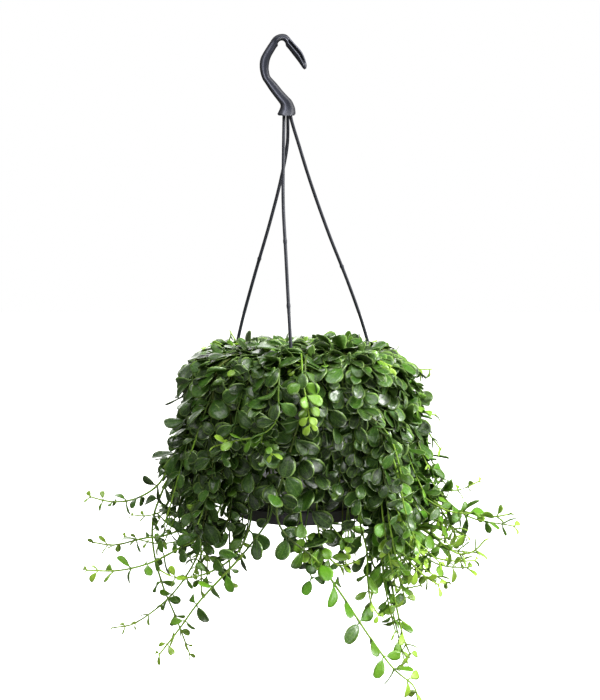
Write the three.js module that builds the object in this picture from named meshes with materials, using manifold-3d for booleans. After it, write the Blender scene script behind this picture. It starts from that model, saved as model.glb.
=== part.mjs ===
// Hanging pot of kalanchoe: a hook with three arms, a round pot clipped on its saucer, and trailing leafy stems.
// Millimetres, +Z up. The origin is the inner top of the hook, where the whole thing hangs.
import * as THREE from "three";
import { ConvexGeometry } from "three/addons/geometries/ConvexGeometry.js";
import { mergeVertices } from "three/addons/utils/BufferGeometryUtils.js";
import Module from "manifold-3d";

const wasm = await Module();
wasm.setup();

// Pot, saucer and soil
const potX = 14; // the pot's axis hangs this far to the right of the hook's inner top
const rimTopZ = -274;
const rimR = 75;
const wall = 1.6;
const collarH = 27;
const bodyTopR = 59;
const footR = 53.5;
const footZ = -409.1;
const footDepth = 3.6;
const beadR = 55.7;
const beadZ = -402;
const drainHoles = 5;
const drainHoleR = 4;
const drainCircleR = 30;
const soilTopZ = -287;
const saucerZ = -411;
const saucerH = 15;
const saucerR = 70.5;
const saucerFloorR = 60;
const clipCount = 3;
const gap = 0.3;
const roundSides = 24;

// Hook and arms
const hookDepth = 8;
const hookBevel = 1.2;
const skirtX = 2.8;
const skirtZ = -62.7;
const skirtR = 8.2;
const skirtNeckR = 4.4;
const skirtH = 13;
const socketDepth = 6;
const armR = 1.45;
const armFootR = 2.4;
const armFootH = 2.5;
const armCircleR = 69.5;
const lugZ = -276;
const lugH = 5;
const lugWidth = 10;

// Leaves and stems
const stemR = 1.35;
const thinStemR = 1.1;
const buried = 11;
const holeR = 4.1;
const firstLeaf = 11;
const tipGap = 2.5;
const internode = 21;
const faceLift = 0.45;
const leafLength = 21;
const leafWidthShare = 0.72;
const leafThickness = 2.4;
const leafCorners = 4;
const leafFoot = 1.5;
const ringGap = 6;
const fullEnd = 45;
const leafClearance = 0.8;
const armClearance = 7;

// The hook's centre line, from the skirt round to the tip: x, z and half its width there
const hookLine = [
  [2.8, -60, 6.4],
  [3.6, -56.2, 5.9],
  [2.3, -52, 5.2],
  [-0.9, -47.5, 4.6],
  [-5.7, -41.4, 4.1],
  [-10.4, -35.5, 3.8],
  [-14.2, -30.2, 3.5],
  [-16.2, -24.5, 3.6],
  [-16.2, -19.2, 4],
  [-14.4, -12.8, 4.2],
  [-11.6, -7, 3.9],
  [-6.9, -0.2, 3.9],
  [-0.6, 3.3, 3.2],
  [5.2, -0.6, 3.9],
  [11.1, -8.7, 3.9],
  [15, -14.7, 3.4],
  [18.2, -20.4, 2.3],
  [19.1, -22.4, 1.3],
];

// Each arm: the azimuth of its lug, its socket in the skirt, and its route between them
const arms = [
  {
    name: "hanger_arm_front",
    azimuth: 265,
    socket: [0.8, -3.4],
    route: [[0.4, -12, -92], [0.2, -27, -136], [2.6, -43, -180], [4.9, -57, -222], [6.9, -67, -256]],
  },
  {
    name: "hanger_arm_right",
    azimuth: 25,
    socket: [6.6, -0.6],
    route: [[14, 6, -90], [24, 10.5, -122], [40, 17, -167], [57, 22.5, -210], [71, 28, -250]],
  },
  {
    name: "hanger_arm_left",
    azimuth: 145,
    socket: [4, 3.1],
    route: [[3.5, 7, -88], [-2, 14.5, -118], [-12, 22.5, -157], [-26, 31, -205], [-38, 38, -249]],
  },
];

// The stems stand on four rings in the soil. A ring nearer the middle arches higher and hangs further out,
// so that no stem crosses another on its way over the rim.
const rings = {
  first: { rootR: 62, crestZ: -266.5, hangR: 83 },
  second: { rootR: 48, crestZ: -263, hangR: 91 },
  third: { rootR: 34, crestZ: -258.5, hangR: 99 },
  fourth: { rootR: 18, crestZ: -254, hangR: 107 },
};

// Stems that trail clear of the others: where each stands and crosses the rim, and its route below
const trailing = [
  {
    name: "stem_left_1", ring: "fourth", root: 200, lane: 196,
    route: [[-89, -30, -349], [-96, -30, -360], [-111, -28, -384], [-134, -25, -397], [-153, -22, -399],
      [-171, -20, -395]],
  },
  {
    name: "stem_left_2", ring: "third", root: 168, lane: 167,
    route: [[-101, 26, -380], [-111, 30, -403], [-120, 34, -430], [-120, 36, -459], [-112, 36, -493],
      [-100, 34, -523], [-87, 30, -558]],
  },
  {
    name: "stem_left_3", ring: "fourth", root: 155, lane: 158, small: 0.7,
    route: [[-98, 42, -385], [-110, 48, -423], [-126, 52, -431], [-142, 55, -431]],
  },
  {
    name: "stem_left_4", ring: "second", root: 178, lane: 175,
    route: [[-84, 10, -424], [-107, 12, -439], [-126, 14, -442], [-154, 16, -449], [-174, 18, -447]],
  },
  {
    name: "stem_left_5", ring: "third", root: 150, lane: 153, small: 0.8,
    route: [[-83, 60, -447], [-98, 64, -458], [-118, 68, -462], [-136, 70, -459], [-151, 72, -456]],
  },
  {
    name: "stem_left_6", ring: "fourth", root: 245, lane: 222,
    route: [[-71, -70, -416], [-88, -72, -427], [-114, -74, -440], [-141, -76, -446], [-168, -78, -445]],
  },
  {
    name: "stem_left_7", ring: "third", root: 210, lane: 207, small: 0.7,
    route: [[-70, -41, -424], [-76, -42, -445], [-94, -44, -473], [-112, -46, -490], [-133, -48, -503],
      [-148, -50, -505]],
  },
  {
    name: "stem_left_8", ring: "second", root: 255, lane: 255,
    route: [[-10, -98, -392], [-17, -98, -404], [-36, -96, -429], [-72, -92, -470], [-88, -90, -493],
      [-106, -88, -517]],
  },
  {
    name: "stem_left_9", ring: "third", root: 240, lane: 242,
    route: [[-28, -80, -405], [-41, -82, -431], [-67, -84, -447], [-91, -86, -449], [-104, -88, -442]],
  },
  {
    name: "stem_right_1", ring: "fourth", root: 20, lane: 15, small: 0.8,
    route: [[119, 28, -378], [128, 30, -394], [144, 32, -401], [160, 34, -402], [179, 36, -394]],
  },
  {
    name: "stem_right_2", ring: "second", root: 345, lane: 344,
    route: [[112, -28, -360], [120, -30, -382], [137, -32, -400], [159, -34, -405], [182, -36, -409],
      [198, -38, -406]],
  },
  {
    name: "stem_right_3", ring: "third", root: 0, lane: 0,
    route: [[107, 0, -339], [112, 2, -361], [120, 4, -386], [132, 4, -411], [145, 4, -439]],
  },
  {
    name: "stem_right_4", ring: "third", root: 330, lane: 331,
    route: [[94, -45, -383], [105, -48, -404], [130, -52, -423], [152, -56, -437], [164, -58, -434],
      [174, -60, -423]],
  },
  {
    name: "stem_right_5", ring: "third", root: 30, lane: 33,
    route: [[105, 45, -433], [116, 50, -454], [136, 54, -470], [159, 58, -476], [179, 60, -476]],
  },
  {
    name: "stem_right_6", ring: "fourth", root: 335, lane: 314,
    route: [[86, -74, -402], [94, -76, -419], [108, -80, -437], [121, -84, -449], [133, -86, -456]],
  },
  {
    name: "stem_right_7", ring: "second", root: 315, lane: 319,
    route: [[84, -60, -428], [90, -62, -450], [98, -64, -483], [104, -66, -509], [110, -68, -524]],
  },
  {
    name: "stem_right_8", ring: "third", root: 300, lane: 307, small: 0.8,
    route: [[80, -86, -330], [82, -88, -372], [86, -88, -410], [93, -88, -444]],
  },
  {
    name: "stem_right_9", ring: "first", root: 330, lane: 330,
    route: [[77, -40, -447], [89, -42, -464], [104, -44, -471], [120, -46, -468]],
  },
  {
    name: "stem_front_1", ring: "fourth", root: 290, lane: 273,
    route: [[-5, -100, -388], [1, -100, -406], [29, -98, -431], [47, -96, -457], [74, -92, -500],
      [95, -90, -529], [112, -88, -545], [116, -86, -562]],
  },
  {
    name: "stem_front_2", ring: "second", root: 285, lane: 280,
    route: [[30, -88, -407], [36, -90, -426], [48, -92, -437], [61, -94, -433]],
  },
  {
    name: "stem_front_3", ring: "first", root: 298, lane: 303,
    route: [[65, -78, -401], [71, -80, -427], [72, -82, -452], [75, -84, -472], [82, -86, -483]],
  },
  {
    name: "stem_front_4", ring: "third", root: 270, lane: 272,
    route: [[15, -92, -393], [20, -92, -415], [30, -90, -433]],
  },
];

// Stems of the back, which trail as those in front do: azimuth at the rim and reach at three heights
const trailingBack = [
  { name: "stem_back_1", ring: "fourth", root: 65, lane: 65, reach: [112, 128, 139], depth: [-400, -452, -500] },
  { name: "stem_back_2", ring: "fourth", root: 110, lane: 112, reach: [114, 136, 152], depth: [-398, -430, -436] },
  { name: "stem_back_3", ring: "third", root: 60, lane: 48, reach: [106, 130, 158], depth: [-404, -436, -446] },
  { name: "stem_back_4", ring: "third", root: 90, lane: 88, reach: [104, 112, 116], depth: [-410, -468, -528] },
  { name: "stem_back_5", ring: "third", root: 120, lane: 130, reach: [106, 126, 142], depth: [-408, -460, -502] },
];

// Stems that hang in the curtain round the pot: their root and lane
const curtainSecond = [[15, 10], [45, 40], [75, 77], [105, 104], [133, 129], [195, 201], [225, 230]];
const curtainFirst = [3, 36, 68, 101, 138, 167, 199, 237, 258];
const curtainShortZ = -418;
const curtainSideDrop = 42;
const curtainDropSpread = 26;
const curtainLeafScale = 1.3; // larger than life, so that the curtain's few leaves still cover the pot

// Short stems of the crown, by where they stand: root azimuth and radius, then the route of the shoot
const crown = [
  {
    name: "stem_crown_1", root: 165, rootR: 26,
    route: [[-20, 12, -266], [-36, 17, -262], [-45, 19, -257], [-50, 20, -250]],
  },
  {
    name: "stem_crown_2", root: 5, rootR: 7,
    route: [[32, 1, -259], [60, 8, -249], [86, 13, -250], [108, 15, -262], [128, 14, -273]],
  },
  {
    name: "stem_crown_3", root: 351, rootR: 41,
    route: [[80, -22, -256], [103, -28, -268], [113, -30, -295], [121, -30, -314], [135, -31, -319]],
  },
  {
    name: "stem_crown_4", root: 268, rootR: 7,
    route: [[14, -30, -252], [13, -60, -246], [13, -88, -254], [14, -107, -272], [19, -114, -302],
      [23, -115, -322]],
  },
  {
    name: "stem_crown_5", root: 178, rootR: 8,
    route: [[4, -22, -254], [1, -52, -249], [-3, -84, -255], [-6, -106, -280], [-10, -112, -318],
      [-26, -108, -334], [-48, -100, -339], [-66, -94, -345]],
  },
];

const crownLeafScale = 0.9;

const plastic = new THREE.MeshStandardMaterial({ color: 0x5b5e68, roughness: 0.45, metalness: 0 });
const potPlastic = new THREE.MeshStandardMaterial({ color: 0x2a2730, roughness: 0.5, metalness: 0 });
const earth = new THREE.MeshStandardMaterial({ color: 0x3b2c20, roughness: 0.95, metalness: 0 });
const foliage = new THREE.MeshStandardMaterial({ color: 0x4e6824, roughness: 0.38, metalness: 0 });
const youngFoliage = new THREE.MeshStandardMaterial({ color: 0x7fa544, roughness: 0.42, metalness: 0 });

const part = new THREE.Group();

// A closed three.js geometry as a solid
function solidFrom(geometry) {
  const bare = geometry.clone();
  bare.deleteAttribute("normal");
  bare.deleteAttribute("uv");
  const merged = mergeVertices(bare, 1e-4);
  const vertProperties = new Float32Array(merged.attributes.position.array);
  const triVerts = new Uint32Array(merged.index.array);
  return new wasm.Manifold(new wasm.Mesh({ numProp: 3, vertProperties, triVerts }));
}

function addMesh(name, solid, material) {
  const { vertProperties, triVerts } = solid.getMesh();
  const geometry = new THREE.BufferGeometry();
  geometry.setAttribute("position", new THREE.BufferAttribute(vertProperties, 3));
  geometry.setIndex(new THREE.BufferAttribute(triVerts, 1));
  const mesh = new THREE.Mesh(geometry, material);
  mesh.name = name;
  part.add(mesh);
}

// Draws between 0 and 1 that repeat from their seed
function drawsFrom(seed) {
  let state = seed * 7919 + 104729;
  return () => {
    state = (state * 16807) % 2147483647;
    return state / 2147483647;
  };
}

// A point round the pot's axis
function around(azimuth, radius, z) {
  const turn = THREE.MathUtils.degToRad(azimuth);
  return new THREE.Vector3(potX + radius * Math.cos(turn), radius * Math.sin(turn), z);
}

function polygon(sides, radius) {
  const points = [];
  for (let i = 0; i < sides; i += 1) {
    const turn = (2 * Math.PI * (i + 0.5)) / sides;
    points.push(new THREE.Vector2(radius * Math.cos(turn), radius * Math.sin(turn)));
  }
  return new THREE.Shape(points);
}

// Turned solid about the pot's axis, or about another upright one
function turned(profile, sides = roundSides, x = potX, y = 0) {
  const points = profile.map(([r, z]) => new THREE.Vector2(r, z));
  const lathe = new THREE.LatheGeometry(points, sides);
  return solidFrom(lathe.rotateX(Math.PI / 2).translate(x, y, 0));
}

// Upright prism with its foot at z
function post(x, y, z, height, radius, sides) {
  const cylinder = new THREE.CylinderGeometry(radius, radius, height, sides);
  return solidFrom(cylinder.rotateX(Math.PI / 2).translate(x, y, z + height / 2));
}

// Box set square to the pot's radius, from one radius to another
function radialBlock(azimuth, fromR, toR, width, lowZ, height) {
  const box = new THREE.BoxGeometry(toR - fromR, width, height);
  box.translate((fromR + toR) / 2, 0, lowZ + height / 2);
  box.rotateZ(THREE.MathUtils.degToRad(azimuth)).translate(potX, 0, 0);
  return solidFrom(box);
}

// A route with one step between each two of its points
class Route extends THREE.CatmullRomCurve3 {
  getUtoTmapping(u) {
    return u;
  }
}

function tube(points, radius, sides, stepsBetween = 1) {
  const steps = (points.length - 1) * stepsBetween;
  const shape = polygon(sides, radius);
  return solidFrom(new THREE.ExtrudeGeometry(shape, { steps, extrudePath: new Route(points) }));
}

function buildHook() {
  const line = new THREE.CatmullRomCurve3(hookLine.map(([x, z, half]) => new THREE.Vector3(x, z, half)));
  const steps = hookLine.length - 1;
  const left = [];
  const right = [];
  for (let i = 0; i <= steps; i += 1) {
    const at = line.getPoint(i / steps);
    const along = line.getTangent(i / steps);
    const across = new THREE.Vector2(-along.y, along.x).normalize();
    left.push(new THREE.Vector2(at.x, at.y).addScaledVector(across, at.z));
    right.unshift(new THREE.Vector2(at.x, at.y).addScaledVector(across, -at.z));
  }
  const blank = new THREE.ExtrudeGeometry(new THREE.Shape([...left, ...right]), {
    depth: hookDepth - 2 * hookBevel,
    bevelThickness: hookBevel,
    bevelSize: hookBevel,
    bevelOffset: -hookBevel,
    bevelSegments: 1,
  });
  blank.rotateX(Math.PI / 2).translate(0, hookDepth / 2 - hookBevel, 0);
  const skirt = turned([
    [0, skirtZ],
    [skirtR, skirtZ],
    [skirtR, skirtZ + 1.5],
    [skirtNeckR + 1.6, skirtZ + skirtH * 0.45],
    [skirtNeckR, skirtZ + skirtH],
    [0, skirtZ + skirtH],
  ], 16, skirtX);
  let solid = solidFrom(blank).add(skirt);
  for (const { socket } of arms) {
    solid = solid.subtract(post(socket[0], socket[1], skirtZ - 1, socketDepth + 1, armR + gap + 0.15, 6));
  }
  addMesh("hook", solid, plastic);
  return solid;
}

// The arm runs from its socket to the hole in its lug, and a foot under the lug holds it
function buildArm({ name, azimuth, socket, route }) {
  const topZ = skirtZ + socketDepth - gap;
  const foot = around(azimuth, armCircleR, lugZ - lugH - gap);
  const points = [
    new THREE.Vector3(socket[0], socket[1], topZ),
    new THREE.Vector3(socket[0], socket[1], skirtZ - 1),
    ...route.map((p) => new THREE.Vector3(...p)),
    new THREE.Vector3(foot.x, foot.y, lugZ + 3),
    new THREE.Vector3(foot.x, foot.y, foot.z - armFootH / 2),
  ];
  const barb = post(foot.x, foot.y, foot.z - armFootH, armFootH, armFootR, 8);
  const solid = tube(points, armR, 6, 2).add(barb);
  addMesh(name, solid, plastic);
  return solid;
}

function buildPot() {
  const collarZ = rimTopZ - collarH;
  const baseZ = footZ + footDepth;
  let solid = turned([
    [0, baseZ],
    [footR - 4, baseZ],
    [footR - 3.5, footZ],
    [footR, footZ],
    [footR + 0.2, beadZ - 1.2],
    [beadR, beadZ],
    [footR + 0.5, beadZ + 1.2],
    [bodyTopR, collarZ],
    [rimR - 1.5, collarZ],
    [rimR, rimTopZ],
    [rimR - wall, rimTopZ],
    [rimR - 1.5 - wall, collarZ + wall],
    [bodyTopR - wall, collarZ + wall],
    [footR - wall, baseZ + wall],
    [0, baseZ + wall],
  ]);
  for (const { azimuth } of arms) {
    solid = solid.add(radialBlock(azimuth, armCircleR - 4.5, rimR - wall / 2, lugWidth, lugZ - lugH, lugH));
  }
  for (const { azimuth } of arms) {
    const hole = around(azimuth, armCircleR, lugZ - lugH - 1);
    solid = solid.subtract(post(hole.x, hole.y, hole.z, lugH + 2, armR + gap + 0.2, 6));
  }
  for (let i = 0; i < drainHoles; i += 1) {
    const hole = around((360 * i) / drainHoles + 11, drainCircleR, baseZ - 1);
    solid = solid.subtract(post(hole.x, hole.y, hole.z, wall + 2, drainHoleR, 8));
  }
  addMesh("pot", solid, potPlastic);
  return solid;
}

function buildSaucer() {
  const topZ = saucerZ + saucerH;
  const floorZ = saucerZ + wall;
  let solid = turned([
    [0, saucerZ],
    [saucerFloorR, saucerZ],
    [saucerFloorR + 3, saucerZ + 1.2],
    [saucerR, topZ - 1.5],
    [saucerR, topZ],
    [saucerR - wall, topZ],
    [saucerFloorR + 1.6, floorZ + 1.2],
    [saucerFloorR - 1, floorZ],
    [0, floorZ],
  ]);
  // Clips that snap over the bead round the pot's foot
  for (let i = 0; i < clipCount; i += 1) {
    const azimuth = (360 * i) / clipCount + 90;
    const legR = beadR + 0.5;
    const leg = radialBlock(azimuth, legR, legR + wall, 9, floorZ - wall / 2, beadZ + 4.4 - floorZ);
    const nib = radialBlock(azimuth, beadR - 1, legR + wall / 2, 9, beadZ + 1.9, 1.6);
    solid = solid.add(leg).add(nib);
  }
  addMesh("saucer", solid, potPlastic);
  return solid;
}

// The soil fills the pot, with a plain hole for each stem
function buildSoil(roots) {
  const shelfZ = rimTopZ - collarH + wall + gap;
  const floorZ = footZ + footDepth + wall + gap;
  let solid = turned([
    [0, floorZ],
    [footR - wall - gap, floorZ],
    [bodyTopR - wall - gap, shelfZ],
    [rimR - 1.5 - wall - gap, shelfZ],
    [rimR - 1.3 - wall - gap, soilTopZ],
    [0, soilTopZ + 1.5],
  ]);
  for (const root of roots) {
    solid = solid.subtract(post(root.x, root.y, soilTopZ - buried - gap, buried + gap + 3, holeR, 3));
  }
  addMesh("soil", solid, earth);
  return solid;
}

// A stem's way out of the soil, over its ring's arch and down outside the rim
function archOver(ring, root, lane) {
  const { rootR, crestZ, hangR } = rings[ring];
  const out = rimR - rootR;
  const turn = (share) => root + (lane - root) * share;
  return [
    around(root, rootR, soilTopZ - buried),
    around(root, rootR, soilTopZ + 4),
    around(turn(0.3), rootR + 0.25 * out, crestZ - 5),
    around(turn(0.8), rootR + 0.75 * out, crestZ),
    around(lane, rimR + 0.6 * (hangR - rimR) + 1.5, crestZ - 9),
    around(lane, hangR, crestZ - 30),
  ];
}

// Lanes stay clear of the arms
function clearOfArms(azimuth) {
  for (const arm of arms) {
    const off = ((azimuth - arm.azimuth + 540) % 360) - 180;
    if (Math.abs(off) < armClearance) {
      return arm.azimuth + (off < 0 ? -armClearance : armClearance);
    }
  }
  return azimuth;
}

// How low a curtain stem hangs: least in front and behind, most at the sides
function curtainEnd(lane, draw) {
  const side = Math.cos(THREE.MathUtils.degToRad(lane)) ** 2;
  return curtainShortZ - curtainSideDrop * side - curtainDropSpread * draw;
}

function curtainStem(name, ring, root, laneWanted, seed) {
  const draw = drawsFrom(seed);
  const lane = clearOfArms(laneWanted);
  const { hangR, crestZ } = rings[ring];
  const endZ = curtainEnd(lane, draw());
  const sway = (draw() - 0.5) * 7;
  const startZ = crestZ - 30;
  const points = archOver(ring, root, lane);
  for (const share of [0.3, 0.65, 1]) {
    points.push(around(lane + sway * share ** 2, hangR + 3 * share, startZ + (endZ - startZ) * share));
  }
  return { name, seed, points, radius: stemR, small: curtainLeafScale, every: 2 };
}

// Every stem, with the points of its route from its foot in the soil to its tip
function listStems() {
  const stems = [];
  trailing.forEach(({ name, ring, root, lane, route, small = 1 }, i) => {
    const arch = archOver(ring, root, clearOfArms(lane));
    const points = [...arch, ...route.map((p) => new THREE.Vector3(...p))];
    stems.push({ name, seed: i + 1, points, radius: small < 1 ? thinStemR : stemR, small, every: 3 });
  });
  trailingBack.forEach(({ name, ring, root, lane, reach, depth }, i) => {
    const azimuth = clearOfArms(lane);
    const points = archOver(ring, root, azimuth);
    reach.forEach((r, k) => points.push(around(azimuth + 3 * k, r, depth[k])));
    stems.push({ name, seed: 40 + i, points, radius: stemR, small: 1, every: 3 });
  });
  curtainSecond.forEach(([root, lane], i) => {
    stems.push(curtainStem(`stem_curtain_${i + 1}`, "second", root, lane, 60 + i));
  });
  curtainFirst.forEach((lane, i) => {
    stems.push(curtainStem(`stem_curtain_${curtainSecond.length + i + 1}`, "first", lane, lane, 80 + i));
  });
  crown.forEach(({ name, root, rootR, route }, i) => {
    const foot = around(root, rootR, soilTopZ - buried);
    const neck = around(root, rootR, soilTopZ + 21);
    const points = [foot, neck, ...route.map((p) => new THREE.Vector3(...p))];
    stems.push({ name, seed: 120 + i, points, radius: thinStemR, small: crownLeafScale, every: 2 });
  });
  return stems;
}

// How far along its curve each point of a stem's route lies
function bendsOf({ curve, points }) {
  const lengths = curve.getLengths();
  const between = curve.arcLengthDivisions / (points.length - 1);
  return points.map((point, i) => lengths[Math.round(i * between)]);
}

// The stem's own frame at a distance along its curve: forward, to the side, and up off the outside of its bend
function frameAt({ curve, length }, distance) {
  const share = THREE.MathUtils.clamp(distance / length, 0, 1);
  const at = curve.getPointAt(share);
  const along = curve.getTangentAt(share);
  const out = new THREE.Vector3(at.x - potX, at.y, 0).normalize();
  const face = out.multiplyScalar(-along.z).add(new THREE.Vector3(0, 0, 1 - Math.abs(along.z) + faceLift));
  const side = new THREE.Vector3().crossVectors(along, face).normalize();
  const up = new THREE.Vector3().crossVectors(side, along);
  return { at, along, side, up };
}

// The corners of a blade: its crown, then its outline from the rear of its foot to the front
function bladeCorners({ at, along, up }, { reach, forward, lift, size }, grow = 0) {
  const out = reach.clone().addScaledVector(along, forward).addScaledVector(up, lift).normalize();
  const face = up.clone().addScaledVector(out, -up.dot(out)).normalize();
  const across = along.clone().addScaledVector(out, -along.dot(out)).addScaledVector(face, -along.dot(face));
  across.normalize();
  const corner = (share, wide, height) => {
    const place = at.clone().addScaledVector(out, share * (size + grow) + stemR * 0.7);
    return place.addScaledVector(across, wide * (size * leafWidthShare + 2 * grow)).addScaledVector(face, height);
  };
  const corners = [corner(0.6, 0, leafThickness * Math.sqrt(size / leafLength) + grow)];
  for (let i = 1; i <= leafCorners; i += 1) {
    const turn = (2 * Math.PI * i) / (leafCorners + 1);
    const share = ((1 - Math.cos(turn)) / 2) ** 0.6;
    corners.push(corner(share, -Math.sin(turn) * 0.48, -grow / 2));
  }
  return corners;
}

// The outer half of a blade, and the whole of it with its foot in the stem
function bladeSolids(frame, leaf, grow = 0) {
  const corners = bladeCorners(frame, leaf, grow);
  const foot = [[-1, -1], [-1, 1], [1, -1], [1, 1]].map(([forward, up]) =>
    frame.at.clone().addScaledVector(frame.along, forward * leafFoot).addScaledVector(frame.up, up * stemR));
  const outer = solidFrom(new ConvexGeometry(corners));
  return { outer, whole: solidFrom(new ConvexGeometry([...foot, ...corners])) };
}

// Where a stem's pairs of leaves stand, from the tip back: every pair at the end, and fewer behind it
function pairsOf(stem) {
  const { seed, length, small, every } = stem;
  const draw = drawsFrom(seed + 500);
  const count = Math.floor((length - buried - firstLeaf - tipGap) / internode);
  const pairs = [];
  for (let k = 0; k <= count; k += 1) {
    const toTip = tipGap + k * internode;
    const grown = Math.min(1, toTip / 55);
    const frame = frameAt(stem, length - toTip);
    const roll = (k % 2 ? 0.4 : -0.3) + (draw() - 0.5) * 0.5;
    const leaves = [1, -1].map((hand) => ({
      hand,
      reach: frame.side.clone().multiplyScalar(hand * Math.cos(roll)).addScaledVector(frame.up, hand * Math.sin(roll)),
      forward: 0.2 + 0.3 * draw() + (1 - grown) * 0.4,
      lift: 0.12,
      size: leafLength * small * (0.84 + 0.28 * draw()) * (0.45 + 0.55 * grown),
    }));
    if (toTip < fullEnd || k % every === 0) {
      pairs.push({ distance: length - toTip, frame, leaves });
    }
  }
  return pairs.reverse();
}

// The ways to turn a blade that would touch another stem: lift, sweep and size, mildest first
const turns = [
  [0, 0, 1],
  [0.3, 0, 1],
  [0, 0.3, 1],
  [0.3, 0.3, 1],
  [-0.25, 0, 1],
  [0.3, 0.2, 0.85],
  [0.4, 0.4, 0.75],
];

// A leafy stem as one body: a four-sided rib whose side opens into a blade wherever a leaf grows
function leafyStem(stem, pairs) {
  const { length, radius } = stem;
  const places = [];
  const faces = [];
  const add = (place) => places.push(place) - 1;
  const ring = (distance) => {
    const { at, side, up } = frameAt(stem, distance);
    const thin = radius * (1 - 0.35 * (distance / length));
    return [[1, 1], [1, -1], [-1, -1], [-1, 1]].map(([s, u]) =>
      add(at.clone().addScaledVector(side, s * thin).addScaledVector(up, u * thin * 0.8)));
  };
  const quad = (a, b, c, d) => faces.push(a, b, c, a, c, d);
  const blade = (corners, rearTop, rearLow, frontTop, frontLow, hand) => {
    const turned = (a, b, c) => (hand > 0 ? faces.push(a, b, c) : faces.push(a, c, b));
    const crownCorner = add(corners[0]);
    const outline = corners.slice(1).map(add);
    const top = [rearTop, ...outline, frontTop, rearTop];
    top.slice(1).forEach((corner, i) => turned(crownCorner, top[i], corner));
    const low = [...outline, frontLow];
    low.slice(1).forEach((corner, i) => turned(rearLow, corner, low[i]));
    turned(rearLow, outline[0], rearTop);
    turned(frontTop, outline[outline.length - 1], frontLow);
  };
  // Rings at the feet of the leaves, and at the route's points that lie clear of them
  const rings = [{ distance: 0 }, { distance: length }];
  for (const pair of pairs) {
    rings.push({ distance: pair.distance - leafFoot, pair }, { distance: pair.distance + leafFoot });
  }
  for (const distance of bendsOf(stem)) {
    if (rings.every((other) => Math.abs(other.distance - distance) > ringGap)) {
      rings.push({ distance });
    }
  }
  rings.sort((a, b) => a.distance - b.distance);
  let last = ring(0);
  quad(last[0], last[3], last[2], last[1]);
  rings.slice(1).forEach(({ distance }, i) => {
    const next = ring(distance);
    const leaves = rings[i].pair ? rings[i].pair.leaves : [];
    quad(last[0], next[0], next[3], last[3]);
    quad(last[1], last[2], next[2], next[1]);
    for (const [hand, top, low] of [[1, 0, 1], [-1, 3, 2]]) {
      const leaf = leaves.find((one) => one.hand === hand);
      if (leaf) {
        const corners = bladeCorners(rings[i].pair.frame, leaf);
        blade(corners, last[top], last[low], next[top], next[low], hand);
      } else if (hand > 0) {
        quad(last[0], last[1], next[1], next[0]);
      } else {
        quad(last[3], next[3], next[2], last[2]);
      }
    }
    last = next;
  });
  quad(last[0], last[1], last[2], last[3]);
  const geometry = new THREE.BufferGeometry().setFromPoints(places);
  geometry.setIndex(faces);
  return solidFrom(geometry);
}

function overlap(a, b) {
  const [one, other] = [a.boundingBox(), b.boundingBox()];
  const apart = [0, 1, 2].some((axis) => one.min[axis] > other.max[axis] || other.min[axis] > one.max[axis]);
  return !apart && !a.intersect(b).isEmpty();
}

// A blade may touch no other stem's pieces, and of its own stem only the part that it grows from
function isClear(name, frame, leaf, pieces) {
  const fat = bladeSolids(frame, leaf, leafClearance);
  const own = bladeSolids(frame, leaf);
  return !pieces.some((other) => {
    if (other.name !== name) {
      return overlap(fat.whole, other.whole);
    }
    return overlap(own.outer, other.whole) || (other.outer && overlap(own.whole, other.outer));
  });
}

const stems = listStems();
const hardware = [buildHook(), buildPot(), buildSaucer(), buildSoil(stems.map((s) => s.points[0]))];
hardware.push(...arms.map(buildArm));
// The space under the saucer stays free, so that the pot can also be stood down
hardware.push(post(potX, 0, saucerZ - 190, 190, saucerR + 2, roundSides));

const pieces = hardware.map((whole) => ({ whole }));
for (const stem of stems) {
  stem.curve = new THREE.CatmullRomCurve3(stem.points);
  stem.curve.arcLengthDivisions = (stem.points.length - 1) * 20;
  stem.length = stem.curve.getLength();
  stem.pairs = pairsOf(stem);
  const bare = stem.pairs.map((pair) => ({ ...pair, leaves: [] }));
  pieces.push({ name: stem.name, whole: leafyStem(stem, bare) });
}
for (const stem of stems) {
  for (const pair of stem.pairs) {
    pair.leaves = pair.leaves.flatMap((leaf) => {
      const ways = turns.map(([lift, sweep, scale]) => ({
        ...leaf,
        lift: leaf.lift + lift,
        forward: leaf.forward + sweep,
        size: leaf.size * scale,
      }));
      const clear = ways.find((way) => isClear(stem.name, pair.frame, way, pieces));
      if (clear) {
        pieces.push({ name: stem.name, ...bladeSolids(pair.frame, clear) });
      }
      return clear ? [clear] : [];
    });
  }
  addMesh(stem.name, leafyStem(stem, stem.pairs), stem.small < 1 ? youngFoliage : foliage);
}

export default part;
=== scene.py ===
import random
from itertools import product
from math import atan2, cos, degrees, exp, hypot, pi, prod, radians, sin, sqrt

import bpy
import numpy as np
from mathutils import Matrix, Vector, noise


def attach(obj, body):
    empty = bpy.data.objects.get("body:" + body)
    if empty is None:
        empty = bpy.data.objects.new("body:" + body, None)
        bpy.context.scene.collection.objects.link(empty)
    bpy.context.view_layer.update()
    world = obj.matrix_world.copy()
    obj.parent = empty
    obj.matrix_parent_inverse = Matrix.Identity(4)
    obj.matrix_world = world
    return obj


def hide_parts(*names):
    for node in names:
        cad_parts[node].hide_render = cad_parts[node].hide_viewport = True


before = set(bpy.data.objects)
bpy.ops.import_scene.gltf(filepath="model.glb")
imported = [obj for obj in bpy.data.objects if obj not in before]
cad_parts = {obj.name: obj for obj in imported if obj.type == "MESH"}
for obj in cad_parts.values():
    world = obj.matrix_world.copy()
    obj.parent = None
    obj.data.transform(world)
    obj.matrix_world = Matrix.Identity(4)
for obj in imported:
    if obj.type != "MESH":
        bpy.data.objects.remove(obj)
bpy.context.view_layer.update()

scene = bpy.context.scene
mm = 0.001  # sizes and routes below are given in millimetres and built in metres
print("frame loaded:", len(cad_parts), "nodes")


def addObject(name, data):
    thing = bpy.data.objects.new(name, data)
    scene.collection.objects.link(thing)
    return thing


# Camera and light

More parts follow.
